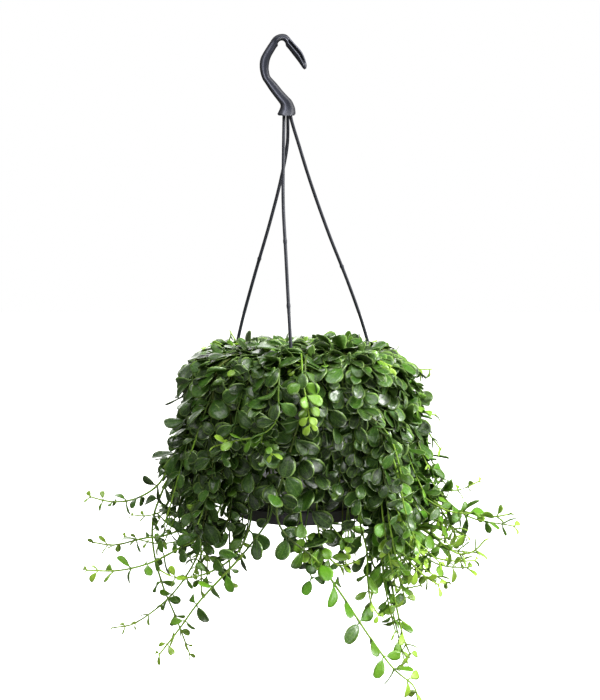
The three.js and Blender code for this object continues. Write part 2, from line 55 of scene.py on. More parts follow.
camera = {
    "aimX": 14.54, "aimZ": -267.6, "distance": 1500, "elevation": 9, "seenHeight": 616, "filmHeight": 36,
}


def buildCamera():
    c = camera
    tilt = radians(c["elevation"])
    away = c["distance"]
    data = bpy.data.cameras.new("camera")
    data.sensor_fit = "VERTICAL"
    data.sensor_height = c["filmHeight"]
    data.lens = c["filmHeight"] * away / c["seenHeight"]
    data.clip_end = 50
    eye = addObject("camera", data)
    eye.location = Vector((c["aimX"], -away * cos(tilt), c["aimZ"] + away * sin(tilt))) * mm
    eye.rotation_euler = (pi / 2 - tilt, 0, 0)
    scene.camera = eye


lights = {  # place and size in metres, and power in watts
    "key": ((2.0, -0.5, 1.2), 1.1, 140),
    "fill": ((-2.1, -1.5, 0.2), 1.4, 10),
    "bounce": ((0.3, -1.2, -1.6), 1.4, 66),
    "top": ((-0.1, -0.5, 1.4), 1.5, 36),
    "back": ((-0.5, 1.9, 0.5), 1.4, 24),
    "side": ((2.1, 0.1, -0.1), 1.2, 22),
}
studio = {  # what the lamps aim at, and the colour and strength of the two backgrounds
    "aim": (0, 0, -0.35), "ambient": ((1, 1, 0.86, 1), 0.2), "white": ((1, 1, 1, 1), 1.0),
}


def buildLights():
    for name, (place, size, power) in lights.items():
        data = bpy.data.lights.new(name, "AREA")
        data.energy = power
        data.size = size
        lamp = addObject(name, data)
        lamp.location = place
        lamp.rotation_euler = (Vector(studio["aim"]) - lamp.location).to_track_quat("-Z", "Y").to_euler()


def buildWorld():  # the plant is lit by the ambient colour, and the camera sees white behind it
    world = bpy.data.worlds.new("studio")
    world.use_nodes = True
    nodes, links = world.node_tree.nodes, world.node_tree.links
    backgrounds = {"ambient": nodes["Background"], "white": nodes.new("ShaderNodeBackground")}
    blend = nodes.new("ShaderNodeMixShader")
    links.new(nodes.new("ShaderNodeLightPath").outputs["Is Camera Ray"], blend.inputs[0])
    for name, socket in zip(backgrounds, blend.inputs[1:]):
        node = backgrounds[name]
        node.inputs["Color"].default_value, node.inputs["Strength"].default_value = studio[name]
        links.new(node.outputs[0], socket)
    links.new(blend.outputs[0], nodes["World Output"].inputs["Surface"])
    scene.world = world
    scene.view_settings.view_transform = "Standard"


buildCamera()
buildLights()
buildWorld()
print("camera and lights placed")


# Shader nodes

class Link:  # a node's output, which adds Math nodes when it stands in an expression
    def __init__(self, finish, socket):
        self.finish = finish
        self.socket = socket

    def maths(self, operation, *values):
        return self.finish.node("ShaderNodeMath", {"operation": operation}, dict(enumerate(values)))

    def __add__(self, other):
        return self.maths("ADD", self, other)

    def __sub__(self, other):
        return self.maths("SUBTRACT", self, other)

    def __rsub__(self, other):
        return self.maths("SUBTRACT", other, self)

    def __mul__(self, other):
        return self.maths("MULTIPLY", self, other)

    __radd__ = __add__
    __rmul__ = __mul__

    def between(self, low, high):  # 0 below low, 1 above high and smooth between them
        sockets = {"Value": self, "From Min": low, "From Max": high}
        return self.finish.node("ShaderNodeMapRange", {"interpolation_type": "SMOOTHSTEP"}, sockets)


class Finish:  # a material whose varying inputs are built from expressions
    def __init__(self, name, constants):
        self.material = bpy.data.materials.new(name)
        self.material.use_nodes = True
        self.tree = self.material.node_tree
        self.shader = self.tree.nodes["Principled BSDF"]
        for socket, value in constants.items():
            self.shader.inputs[socket].default_value = value

    def node(self, kind, settings=None, sockets=None, output=0):
        node = self.tree.nodes.new(kind)
        for setting, value in (settings or {}).items():
            setattr(node, setting, value)
        for socket, value in (sockets or {}).items():
            self.join(value, node.inputs[socket])
        return Link(self, node.outputs[output])

    def join(self, value, socket):
        if isinstance(value, Link):
            self.tree.links.new(value.socket, socket)
        else:
            socket.default_value = value

    def feed(self, **values):  # Base_Color, Roughness and the other inputs that may vary
        for socket, value in values.items():
            self.join(value, self.shader.inputs[socket.replace("_", " ")])

    def noise(self, size, detail=2, roughness=0.5):  # 0 to 1, with features of about size millimetres
        place = self.node("ShaderNodeTexCoord", output="Object")
        sockets = {"Vector": place, "Scale": 1 / (size * mm), "Detail": detail, "Roughness": roughness}
        return self.node("ShaderNodeTexNoise", {}, sockets)

    def layers(self, base, *tones):  # colours laid over the base one by one, each by its share
        settings = {"data_type": "RGBA", "blend_type": "MIX"}
        for share, tone in tones:
            base = self.node("ShaderNodeMix", settings, {0: share, 6: base, 7: tone}, 2)
        return base

    def bump(self, height, depth):  # height 0 to 1 over depth millimetres
        return self.node("ShaderNodeBump", {}, {"Height": height, "Distance": depth * mm, "Strength": 1.0})

    def pointData(self):  # the three numbers that a mesh keeps for each vertex
        numbers = self.node("ShaderNodeAttribute", {"attribute_name": "leafData"})
        split = self.node("ShaderNodeSeparateColor", {}, {0: numbers})
        return [Link(self, output) for output in split.socket.node.outputs]


def colour(*screen):  # red, green and blue from 0 to 255, as seen on a screen
    shares = [part / 255 for part in screen]
    return (*(c / 12.92 if c < 0.0405 else ((c + 0.055) / 1.055) ** 2.4 for c in shares), 1)


leafLook = {
    "deep": colour(14, 37, 3), "mid": colour(45, 86, 10), "fresh": colour(74, 132, 12),
    "young": colour(90, 136, 24), "tip": colour(136, 172, 50), "margin": colour(160, 196, 104),
    # mottleAndSheen is a pale colour laid in blotches: partly the leaf's own mottling and partly painted
    # sheen
    "rib": colour(92, 134, 36), "under": colour(88, 122, 40), "mottleAndSheen": colour(132, 162, 88),
    "marginShare": 0.55, "ribShare": 0.28, "underShare": 0.45, "mottleAndSheenShare": 0.22, "speckShare": 0.26,
    "sheen": 0.72, "grain": 0.42,
}


def leafFinish(name):
    finish = Finish(name, {"IOR": 1.45, "Coat Roughness": 0.14, "Specular IOR Level": 0.34})
    # youth and tint also carry painted light: leaves are drawn lighter on the lit side and low down
    youthAndPaintedLight, tint, edge = finish.pointData()
    under = finish.node("ShaderNodeAttribute", {"attribute_name": "underside"}, output="Fac")
    look = leafLook
    tone = (tint * 0.8 + finish.noise(11) * 0.5 - 0.15).between(0, 1)
    # pale blotches, partly the leaf's own mottling and partly painted sheen
    mottleAndSheen = finish.noise(2.6, 4, 0.72).between(0.48, 0.7)
    specks = finish.noise(0.5, 3, 0.65).between(0.52, 0.7)
    blade = finish.layers(
        look["deep"], (tone, look["mid"]), (tint.between(0.8, 0.98) * 0.8, look["fresh"]),
        (youthAndPaintedLight.between(0.05, 0.62), look["young"]), (youthAndPaintedLight.between(0.6, 1.0), look["tip"]),
        (mottleAndSheen * look["mottleAndSheenShare"], look["mottleAndSheen"]), (specks * look["speckShare"], look["margin"]),
        ((1 - edge.between(0.0, 0.11)) * look["ribShare"], look["rib"]),
        (edge.between(0.7, 1.0) * look["marginShare"], look["margin"]),
        (under * look["underShare"], look["under"]),
    )
    finish.feed(Base_Color=blade, Roughness=0.24 + finish.noise(2.4, 3) * 0.26 + under * 0.2)
    patches = 0.35 + finish.noise(0.9, 3, 0.7).between(0.42, 0.58) * 0.65
    sheen = finish.noise(6, 2).between(0.4, 0.6) * patches
    grain = finish.noise(0.45, 2) * 0.3 + finish.noise(1.9, 3) * 0.9
    finish.feed(Coat_Weight=sheen * (1 - under) * look["sheen"], Normal=finish.bump(grain, look["grain"]))
    return finish.material


stemLook = {
    "bark": colour(62, 92, 22), "brownBark": colour(82, 94, 30), "green": colour(116, 156, 40),
    "lime": colour(158, 192, 66), "ring": colour(122, 100, 50), "speck": colour(70, 74, 36),
}


def stemFinish():
    finish = Finish("stem skin", {"IOR": 1.4})
    # youth also carries painted light: stems out of the mass and on the lit side are drawn lighter
    youthAndPaintedLight, tint, ring = finish.pointData()
    look = stemLook
    specks = finish.noise(1.4, 3).between(0.4, 0.75)
    skin = finish.layers(
        look["bark"], (tint.between(0.4, 1.0), look["brownBark"]), (youthAndPaintedLight.between(0.0, 0.5), look["green"]),
        (youthAndPaintedLight.between(0.5, 1.0), look["lime"]), (ring * 0.3, look["ring"]), (specks * 0.25, look["speck"]),
    )
    finish.feed(Base_Color=skin, Roughness=0.42 + finish.noise(1.2) * 0.2)
    finish.feed(Normal=finish.bump(finish.noise(0.7, 3), 0.2))
    return finish.material


hangerLook = {"fresh": colour(32, 35, 44), "worn": colour(60, 62, 74), "roughness": 0.34, "grain": 0.05}
potLook = {"fresh": colour(27, 24, 31), "worn": colour(50, 46, 55), "roughness": 0.36, "grain": 0.12}
# paintedHighlight is the colour of painted highlight on the hook; darkening is a near-black that paints shade
# on the hook's edges and darkens the arms all over
darkeningAndHighlight = {"darkening": colour(12, 13, 18), "paintedHighlight": colour(112, 114, 128)}


def plasticFinish(name, look):
    finish = Finish(name, {"IOR": 1.49, "Specular IOR Level": 0.32})
    # paintedHighlight and darkened come from the mesh: painted highlight and painted shade on the hook, and a
    # darker tone all over the arms
    paintedHighlight, darkened = finish.pointData()[:2]
    cloud = finish.noise(14, 3, 0.6)
    scuffs = finish.noise(1.1, 4, 0.7).between(0.56, 0.76)
    body = finish.layers(
        look["fresh"], (cloud.between(0.3, 0.75) * 0.5, look["worn"]), (scuffs * 0.18, look["worn"]),
        (darkened * 0.75, darkeningAndHighlight["darkening"]), (paintedHighlight * 0.55, darkeningAndHighlight["paintedHighlight"]),
    )
    roughness = look["roughness"] + cloud * 0.1 + scuffs * 0.12 + darkened * 0.3 - paintedHighlight * 0.08
    finish.feed(Base_Color=body, Roughness=roughness)
    finish.feed(Normal=finish.bump(finish.noise(0.45, 2) + finish.noise(3.5, 2) * 0.8, look["grain"]))
    return finish.material


soilLook = {"dark": colour(34, 24, 17), "light": colour(74, 54, 38), "fibre": colour(128, 98, 66)}


def soilFinish():
    finish = Finish("peat compost", {})
    look = soilLook
    crumbs = finish.noise(2.4, 4, 0.7)
    fibres = finish.noise(0.7, 3, 0.6).between(0.6, 0.74)
    mottled = crumbs.between(0.3, 0.7)
    body = finish.layers(look["dark"], (mottled, look["light"]), (fibres * 0.5, look["fibre"]))
    finish.feed(Base_Color=body, Roughness=0.82 + crumbs * 0.15)
    finish.feed(Normal=finish.bump(crumbs + finish.noise(0.6, 2) * 0.3, 1.6))
    return finish.material


finishes = {
    "foliage": leafFinish("mature leaf"),
    "young_foliage": leafFinish("young leaf"),
    "stem": stemFinish(),
    "hanger_plastic": plasticFinish("blue-grey plastic", hangerLook),
    "pot_plastic": plasticFinish("black plastic", potLook),
    "soil": soilFinish(),
}
print("materials made")


# Meshes

def finishPiece(name, mesh, slot, nodes=(), skins=()):  # skins are the materials that follow the slot's own
    for material in (finishes[slot], *skins):
        mesh.materials.append(material)
    mesh.polygons.foreach_set("use_smooth", [True] * len(mesh.polygons))
    piece = addObject(name, mesh)
    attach(piece, "root")
    if nodes:
        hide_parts(*nodes)


class Builder:  # gathers the vertices, faces and point data of one piece
    def __init__(self):
        self.places = []
        self.faces = []
        self.data = []
        self.undersides = []
        self.materials = []
        self.count = 0
        self.leaves = 0

    def add(self, places, faces, data=None, undersides=None, material=0):
        self.places.append(np.asarray(places, float))
        self.faces.extend(tuple(self.count + i for i in face) for face in faces)
        self.materials.extend([material] * len(faces))
        self.data.append(np.zeros((len(places), 3)) if data is None else data)
        self.undersides.append(np.zeros(len(places)) if undersides is None else undersides)
        self.count += len(places)

    def mesh(self, name):
        mesh = bpy.data.meshes.new(name)
        mesh.from_pydata(np.concatenate(self.places) * mm, [], self.faces)
        mesh.polygons.foreach_set("material_index", self.materials)
        data = mesh.attributes.new("leafData", "FLOAT_COLOR", "POINT")
        colours = np.ones((self.count, 4), np.float32)
        colours[:, :3] = np.concatenate(self.data)
        data.data.foreach_set("color", colours.ravel())
        under = mesh.attributes.new("underside", "FLOAT", "POINT")
        under.data.foreach_set("value", np.concatenate(self.undersides).astype(np.float32))
        mesh.update()
        return mesh


def tubeFaces(rings, sides):  # the two end faces come last
    faces = []
    for i in range(rings - 1):
        for j in range(sides):
            k = (j + 1) % sides
            faces.append((i * sides + j, i * sides + k, (i + 1) * sides + k, (i + 1) * sides + j))
    faces.append(tuple(range(sides))[::-1])
    faces.append(tuple(range((rings - 1) * sides, rings * sides)))
    return faces


def turned(profile, axisX=0, axisY=0, sides=96):  # a lathe solid whose profile starts and ends on the axis
    places = []
    for r, z in profile[1:-1]:
        for j in range(sides):
            turn = 2 * pi * j / sides
            places.append((axisX + r * cos(turn), axisY + r * sin(turn), z))
    rings = len(profile) - 2
    faces = tubeFaces(rings, sides)[:-2]
    first, last = len(places), len(places) + 1
    places += [(axisX, axisY, profile[0][1]), (axisX, axisY, profile[-1][1])]
    for j in range(sides):
        k = (j + 1) % sides
        faces.append((first, k, j))
        faces.append((last, (rings - 1) * sides + j, (rings - 1) * sides + k))
    return places, faces


def rounded(profile, radius=0.5, steps=3):  # the profile with its corners rounded
    points = [Vector(p) for p in profile]
    result = [points[0]]
    for before, corner, after in zip(points, points[1:], points[2:]):
        back, on = before - corner, after - corner
        reach = min(radius, back.length * 0.45, on.length * 0.45)
        start, end = corner + back.normalized() * reach, corner + on.normalized() * reach
        for i in range(steps + 1):
            t = i / steps
            result.append(start * (1 - t) ** 2 + corner * 2 * t * (1 - t) + end * t ** 2)
    result.append(points[-1])
    return [(p.x, p.y) for p in result]


def smoothRoute(points, steps=16):  # the centripetal curve through the points, as in the solids
    points = [np.asarray(p, float) for p in points]
    points = [2 * points[0] - points[1], *points, 2 * points[-1] - points[-2]]
    result = []
    for a, b, c, d in zip(points, points[1:], points[2:], points[3:]):
        ab, bc, cd = (max(np.linalg.norm(q - p) ** 0.5, 1e-4) for p, q in ((a, b), (b, c), (c, d)))
        leave = ((b - a) / ab - (c - a) / (ab + bc) + (c - b) / bc) * bc
        arrive = ((c - b) / bc - (d - b) / (bc + cd) + (d - c) / cd) * bc
        square = 3 * (c - b) - 2 * leave - arrive
        cube = 2 * (b - c) + leave + arrive
        for i in range(steps):
            t = i / steps
            result.append(b + leave * t + square * t ** 2 + cube * t ** 3)
    result.append(points[-2])
    return np.array(result)


class Route:  # a smooth line that can be asked for the point at any distance along it
    def __init__(self, points):
        self.points = smoothRoute(points)
        steps = np.linalg.norm(np.diff(self.points, axis=0), axis=1)
        self.distances = np.concatenate([[0], np.cumsum(steps)])
        self.length = self.distances[-1]

    def at(self, distance):
        return Vector([np.interp(distance, self.distances, self.points[:, k]) for k in range(3)])

    def along(self, distance):
        low, high = max(0, distance - 0.7), min(self.length, distance + 0.7)
        return (self.at(high) - self.at(low)).normalized()


def rise(value, start, over):  # 0 up to start, and from there up to 1
    return min(1, max(0, (value - start) / over))


def swept(value, low, high, ease):  # 1 between low and high, and 0 outside them
    return rise(value, low, ease) * rise(-value, -high, ease)


def bell(offset, width):  # 1 at no offset, and next to nothing at twice the width
    return exp(-(offset / width) ** 2)


# Hanger: hook and arms

pot = {
    "x": 14, "rimTopZ": -274, "rimR": 75, "wall": 1.6, "collarH": 27, "collarTaper": 1.5, "bodyTopR": 59,
    "footR": 53.5, "footZ": -409.1, "footDepth": 3.6, "beadR": 55.7, "beadZ": -402, "beadH": 1.2,
    "soilTopZ": -287,
}

hook = {
    "sides": [  # x and z of the outer edge and of the inner one, from the foot up and over to the tip
        (-3.9, -63.1, 9.6, -63.1), (-4.9, -61.9, 10.6, -61.6), (-3.7, -59.2, 10.6, -59.2),
        (-2.6, -56.6, 10, -55.9), (-2.4, -53.9, 7.4, -50.3), (-4.1, -51.3, 4.3, -47),
        (-7.5, -46.9, -0.4, -42), (-11.4, -41.7, -4.8, -36.6), (-15.5, -35.5, -8.3, -32.8),
        (-17.6, -32.3, -10.9, -29.9), (-19.6, -25.9, -12.1, -25.3), (-20.1, -19.8, -12.2, -21),
        (-19.3, -14.7, -11.3, -16), (-17.5, -10.8, -9.8, -12.3), (-14.2, -5.5, -8, -9.3),
        (-10.9, -0.6, -5.8, -5.7), (-9.4, 1.6, -4.4, -3.9), (-7.5, 3.7, -4.4, -1.9),
        (-4.2, 5.5, -2.9, -0.2), (-0.5, 6.1, -1, 0.4), (2.8, 5.4, 0.8, -0.3), (5.3, 3.3, 2, -2),
        (6.9, 1.5, 2.4, -4), (9.7, -1.8, 4.9, -7), (13.7, -6, 8.3, -11.4), (16.7, -10, 11.3, -15.2),
        (19.5, -16.8, 14.4, -19.3), (20.3, -21, 16.7, -22.7), (19.9, -23.2, 18.2, -24.1),
    ],
    "across": [  # the points of a section, from the inner edge at -1 to the outer one at 1
        -0.98, -0.92, -0.8, -0.62, -0.46, -0.3, -0.2, -0.1, 0, 0.12, 0.24, 0.34, 0.42, 0.5, 0.6, 0.72, 0.84,
        0.93, 0.98,
    ],
    "depth": 8, "corner": 2.4, "skirtZ": -63.1, "skirtH": 10, "skirtDepth": 15,
    "slot": 3, "slotAlong": (0.76, 0.945), "slotAcross": (0.05, 0.65),
    "ridge": 0.6, "ribAlong": (-0.01, 0.58), "ribAt": 0.36, "ribWidth": 0.12,
    "lipAlong": (0.6, 0.97), "lipAt": -0.1, "lipWidth": 0.1,
}


def buildHook():
    h = hook
    front = [(u, (1 - abs(u) ** h["corner"]) ** (1 / h["corner"])) for u in h["across"]]
    section = [(-1, 0)] + front + [(1, 0)] + [(u, -v) for u, v in front[::-1]]
    line = smoothRoute(h["sides"], 5)
    places, marks = [], []
    for i, (outerX, outerZ, innerX, innerZ) in enumerate(line):
        share = i / (len(line) - 1)
        slot = h["slot"] * swept(share, *h["slotAlong"], 0.03)
        rib = swept(share, *h["ribAlong"], 0.06)
        lip = swept(share, *h["lipAlong"], 0.05)
        tip = min(1, (1 - share) / 0.03 + 0.5)
        for u, v in section:
            ridge = rib * bell(u - h["ribAt"], h["ribWidth"]) + lip * bell(u - h["lipAt"], h["lipWidth"])
            inSlot = h["slotAcross"][0] < u < h["slotAcross"][1]
            raised = h["ridge"] * ridge - (slot if inSlot else 0)
            side = (v > 0) - (v < 0)
            outer, inner = (1 + u) / 2, (1 - u) / 2
            z = outerZ * outer + innerZ * inner
            above = z - h["skirtZ"]
            flare = max(0, 1 - above / h["skirtH"]) ** 2
            y = v * (h["depth"] + (h["skirtDepth"] - h["depth"]) * flare) / 2 * tip + side * raised
            places.append((outerX * outer + innerX * inner, y, z))
            # The marks paint light and shade: the ridge lines, a broad band, the plastic beside the slot and
            # the foot of the skirt are painted highlight, and both edges are painted shade
            brim = 0.12 * max(0, 1 - above / 1.8)
            band = (0.6 - 0.3 * flare) * rib * bell(u - 0.25, 0.35)
            rim = 0.5 * (slot > 0 and u > h["slotAcross"][1])
            darkening = rise(abs(u), 0.45, 0.4) * (1 - 2 * rim)
            marks.append((min(1, ridge + band + rim + brim), darkening * (1 - brim), 0))
    builder = Builder()
    builder.add(places, [face[::-1] for face in tubeFaces(len(line), len(section))], np.array(marks))
    finishPiece("hook_moulding", builder.mesh("hook"), "hanger_plastic", ["hook"])


arms = {  # the azimuth of its foot, x and y of its top in the skirt, and the course between them
    # darkening: how much darker the whole arm is drawn
    "hanger_arm_front": {
        "azimuth": 265, "socket": (0.8, -3.4), "nubs": [-168, -221], "darkening": 0.4,
        "route": [(0.4, -12, -92), (0.2, -27, -136), (2.6, -43, -180), (4.9, -57, -222), (6.9, -67, -256)],
    },
    "hanger_arm_right": {
        "azimuth": 25, "socket": (6.6, -0.6), "nubs": [-196], "darkening": 0.45,
        "route": [(14, 6, -90), (24, 10.5, -122), (40, 17, -167), (57, 22.5, -210), (71, 28, -250)],
    },
    "hanger_arm_left": {
        "azimuth": 145, "socket": (4, 3.1), "nubs": [-190], "darkening": 0.3,
        "route": [(3.5, 7, -88), (-2, 14.5, -118), (-12, 22.5, -157), (-26, 31, -205), (-38, 38, -249)],
    },
}
armShape = {
    "radius": 1.45, "nubSwell": 0.32, "nubH": 1.1, "footR": 2.4, "footH": 2.5, "circleR": 69.5,
    "lugZ": -276, "lugH": 5, "lugWidth": 10, "lugReach": 4.5, "socketDepth": 4, "gap": 0.3, "leafRoom": 6,
}


def around(azimuth, radius, z):  # a point round the pot's axis
    turn = radians(azimuth)
    return Vector((pot["x"] + radius * cos(turn), radius * sin(turn), z))


def tube(builder, route, radiusAt, dataAt, step, sides, material=0):
    count = max(2, round(route.length / step)) + 1
    places, data = [], []
    for i in range(count):
        distance = route.length * i / (count - 1)
        at, along = route.at(distance), route.along(distance)
        out = Vector((at.x - pot["x"], at.y, 0.3))
        side = along.cross(out if abs(along.z) > 0.3 else Vector((0, 0, 1))).normalized()
        up = side.cross(along)
        radius = radiusAt(distance)
        for j in range(sides):
            turn = 2 * pi * j / sides
            places.append(at + side * radius * cos(turn) + up * radius * sin(turn))
        data += [dataAt(distance)] * sides
    builder.add(places, [f[::-1] for f in tubeFaces(count, sides)], np.array(data), material=material)


def buildArm(name):
    arm, s = arms[name], armShape
    x, y = arm["socket"]
    topZ = hook["skirtZ"] + s["socketDepth"] - s["gap"]
    foot = around(arm["azimuth"], s["circleR"], s["lugZ"] - s["lugH"] - s["gap"])
    lowZ = foot.z - s["footH"]
    route = Route([
        (x, y, topZ), (x, y, hook["skirtZ"] - 1), *arm["route"], (foot.x, foot.y, s["lugZ"] + 3),
        (foot.x, foot.y, foot.z - s["footH"] / 2),
    ])

    def radiusAt(distance):
        z = route.at(distance).z
        return s["radius"] * (1 + s["nubSwell"] * sum(bell(z - nub, s["nubH"]) for nub in arm["nubs"]))

    builder = Builder()
    tube(builder, route, radiusAt, lambda distance: (0, arm["darkening"], 0), 1.6, 14)
    r = s["footR"]
    profile = [(0, lowZ), (r * 0.75, lowZ), (r, foot.z - 0.6), (r, foot.z), (0, foot.z)]
    builder.add(*turned(rounded(profile, 0.3, 2), foot.x, foot.y, 24))
    finishPiece(name + "_moulding", builder.mesh(name), "hanger_plastic", [name])


buildHook()
for armName in arms:
    buildArm(armName)
print("hook and arms built")


# Pot, saucer and soil

def block(azimuth, fromR, toR, width, lowZ, height, cut=0.5):  # a box along the pot's radius, its edges cut
    out = around(azimuth, 1, 0) - around(azimuth, 0, 0)
    side = Vector((-out.y, out.x, 0))
    centre = around(azimuth, (fromR + toR) / 2, lowZ + height / 2)
    half = ((toR - fromR) / 2, width / 2, height / 2)
    places, faces, index = [], [], {}
    for signs in product((-1, 1), repeat=3):
        for k in range(3):
            p = [h * s - (0 if i == k else cut * s) for i, (h, s) in enumerate(zip(half, signs))]
            index[(*signs, k)] = len(places)
            places.append(centre + out * p[0] + side * p[1] + Vector((0, 0, 1)) * p[2])

    def addFace(corners, outward):
        face = tuple(corners)
        faces.append(face if outward else face[::-1])

    def corner(axes, signs, k):  # the point that these signs along these axes have on side k of the box
        key = [0, 0, 0]
        for axis, sign in zip(axes, signs):
            key[axis] = sign
        return index[(*key, k)]

    turns = ((0, 1, 2), (1, 2, 0), (2, 0, 1))
    for axes in turns:
        for s in (-1, 1):
            square = ((-1, -1), (1, -1), (1, 1), (-1, 1))
            addFace([corner(axes, (s, u, v), axes[0]) for u, v in square], s > 0)
    for axes in turns:
        for u, v in product((-1, 1), repeat=2):
            ends = ((-1, axes[1]), (1, axes[1]), (1, axes[2]), (-1, axes[2]))
            addFace([corner(axes, (s, u, v), k) for s, k in ends], u * v < 0)
    for signs in product((-1, 1), repeat=3):
        addFace([index[(*signs, k)] for k in range(3)], prod(signs) > 0)
    return places, faces


def combined(mesh, operation, other):  # the mesh joined with the other one, or cut by it
    body, tool = (addObject("shape", shape) for shape in (mesh, other))
    modifier = body.modifiers.new("combined", "BOOLEAN")
    modifier.solver = "MANIFOLD"
    modifier.operation = operation
    modifier.object = tool
    result = bpy.data.meshes.new_from_object(body.evaluated_get(bpy.context.evaluated_depsgraph_get()))
    for thing in (body, tool):
        bpy.data.objects.remove(thing)
    return result


def holes(places):  # a round cutter for each hole: x, y, lowest z, height and radius
    cutters = Builder()
    for x, y, z, height, radius in places:
        cutters.add(*turned([(0, z), (radius, z), (radius, z + height), (0, z + height)], x, y, 28))
    return cutters.mesh("cutters")


drain = {"holes": 5, "radius": 4, "circleR": 30, "firstAt": 11, "cutH": 12}


def buildPot():
    p, s = pot, armShape
    collarZ = p["rimTopZ"] - p["collarH"]
    baseZ = p["footZ"] + p["footDepth"]
    collarR = p["rimR"] - p["collarTaper"]
    profile = [
        (0, baseZ), (p["footR"] - 4, baseZ), (p["footR"] - 3.5, p["footZ"]), (p["footR"], p["footZ"]),
        (p["footR"] + 0.2, p["beadZ"] - p["beadH"]), (p["beadR"], p["beadZ"]),
        (p["footR"] + 0.5, p["beadZ"] + p["beadH"]), (p["bodyTopR"], collarZ), (collarR, collarZ),
        (p["rimR"], p["rimTopZ"]), (p["rimR"] - p["wall"], p["rimTopZ"]),
        (collarR - p["wall"], collarZ + p["wall"]), (p["bodyTopR"] - p["wall"], collarZ + p["wall"]),
        (p["footR"] - p["wall"], baseZ + p["wall"]), (0, baseZ + p["wall"]),
    ]
    body, lugs = Builder(), Builder()
    body.add(*turned(rounded(profile, 0.7), p["x"]))
    lowZ = s["lugZ"] - s["lugH"]
    places = []
    for arm in arms.values():
        fromR, toR = s["circleR"] - s["lugReach"], p["rimR"] - p["wall"] / 2
        lugs.add(*block(arm["azimuth"], fromR, toR, s["lugWidth"], lowZ, s["lugH"]))
        at = around(arm["azimuth"], s["circleR"], lowZ - 1)
        places.append((*at, s["lugH"] + 2, s["radius"] + 0.5))
    for i in range(drain["holes"]):
        at = around(360 * i / drain["holes"] + drain["firstAt"], drain["circleR"], p["footZ"])
        places.append((*at, drain["cutH"], drain["radius"]))
    mesh = combined(body.mesh("pot"), "UNION", lugs.mesh("lugs"))
    finishPiece("pot_moulding", combined(mesh, "DIFFERENCE", holes(places)), "pot_plastic", ["pot"])


saucer = {"z": -411, "height": 15, "rimR": 70.5, "floorR": 60, "clips": 3, "clipWidth": 9, "firstClip": 90}


def buildSaucer():
    s, wall = saucer, pot["wall"]
    rimR, topZ = s["rimR"], s["z"] + s["height"]
    floorR, floorZ = s["floorR"], s["z"] + wall
    profile = [
        (0, s["z"]), (floorR, s["z"]), (floorR + 3, s["z"] + 1.2), (rimR - 0.7, topZ - 2.2),
        (rimR, topZ - 1.8), (rimR, topZ), (rimR - wall, topZ), (floorR + 1.6, floorZ + 1.2),
        (floorR - 1, floorZ), (0, floorZ),
    ]
    builder = Builder()
    builder.add(*turned(rounded(profile, 0.6), pot["x"]))
    legR, legZ = pot["beadR"] + 0.5, floorZ - wall / 2
    for i in range(s["clips"]):
        azimuth = 360 * i / s["clips"] + s["firstClip"]
        legH = pot["beadZ"] + 4.4 - floorZ
        builder.add(*block(azimuth, legR, legR + wall, s["clipWidth"], legZ, legH, 0.3))
        catchR, catchZ = pot["beadR"] - 1, pot["beadZ"] + 1.9
        builder.add(*block(azimuth, catchR, legR + wall / 2, s["clipWidth"], catchZ, 1.6, 0.3))
    finishPiece("saucer_moulding", builder.mesh("saucer"), "pot_plastic", ["saucer"])


soil = {"gap": 0.5, "rings": 30, "crown": 0.8, "crumbs": 320, "crumbSize": (0.6, 2.1), "roughness": 1.6}


def buildSoil():
    p, s = pot, soil
    wall, gap, topZ = p["wall"], s["gap"], p["soilTopZ"]
    shelfZ = p["rimTopZ"] - p["collarH"] + wall + 0.3
    floorZ = p["footZ"] + p["footDepth"] + wall + 0.3
    edgeR = p["rimR"] - 1.3 - wall - gap
    profile = [(0, floorZ), (p["footR"] - wall - gap, floorZ)]
    profile += [(p["bodyTopR"] - wall - gap, shelfZ), (edgeR, shelfZ)]
    profile += [(edgeR * (1 - i / s["rings"]), topZ + s["crown"] * i / s["rings"]) for i in range(s["rings"])]
    places, faces = turned(profile + [(0, topZ + s["crown"])], p["x"], 0, 84)
    places = [Vector(q) for q in places]
    for q in places:
        if q.z > topZ - 0.1:
            lump = noise.noise(q * 0.09) * 2 + noise.noise(q * 0.35)
            q.z += s["roughness"] * lump * min(1, (edgeR - hypot(q.x - p["x"], q.y)) / 3 + 0.1)
    builder = Builder()
    builder.add(places, faces)
    draw = random.Random(7)
    for i in range(s["crumbs"]):
        azimuth = draw.uniform(0, 360)
        at = around(azimuth, edgeR * 0.95 * sqrt(draw.random()), topZ + draw.uniform(0, 1.6))
        size = draw.uniform(*s["crumbSize"])
        corners = []
        for x, y, z in ((1, 0, 0), (-1, 0, 0), (0, 1, 0), (0, -1, 0), (0, 0, 1), (0, 0, -1)):
            corners.append(at + Vector((x, y, z * 0.8)) * size * draw.uniform(0.6, 1.1))
        upper = [(0, 2, 4), (2, 1, 4), (1, 3, 4), (3, 0, 4)]
        builder.add(corners, upper + [(2, 0, 5), (1, 2, 5), (3, 1, 5), (0, 3, 5)])
    finishPiece("compost", builder.mesh("soil"), "soil", ["soil"])


buildPot()
buildSaucer()
buildSoil()
print("pot, saucer and soil built")


# Routes of the stems, as in the solids

rings = {  # radius of the roots, height of the crest and radius outside the rim
    "first": (62, -266.5, 83),
    "second": (48, -263, 91),
    "third": (34, -258.5, 99),
    "fourth": (18, -254, 107),
}

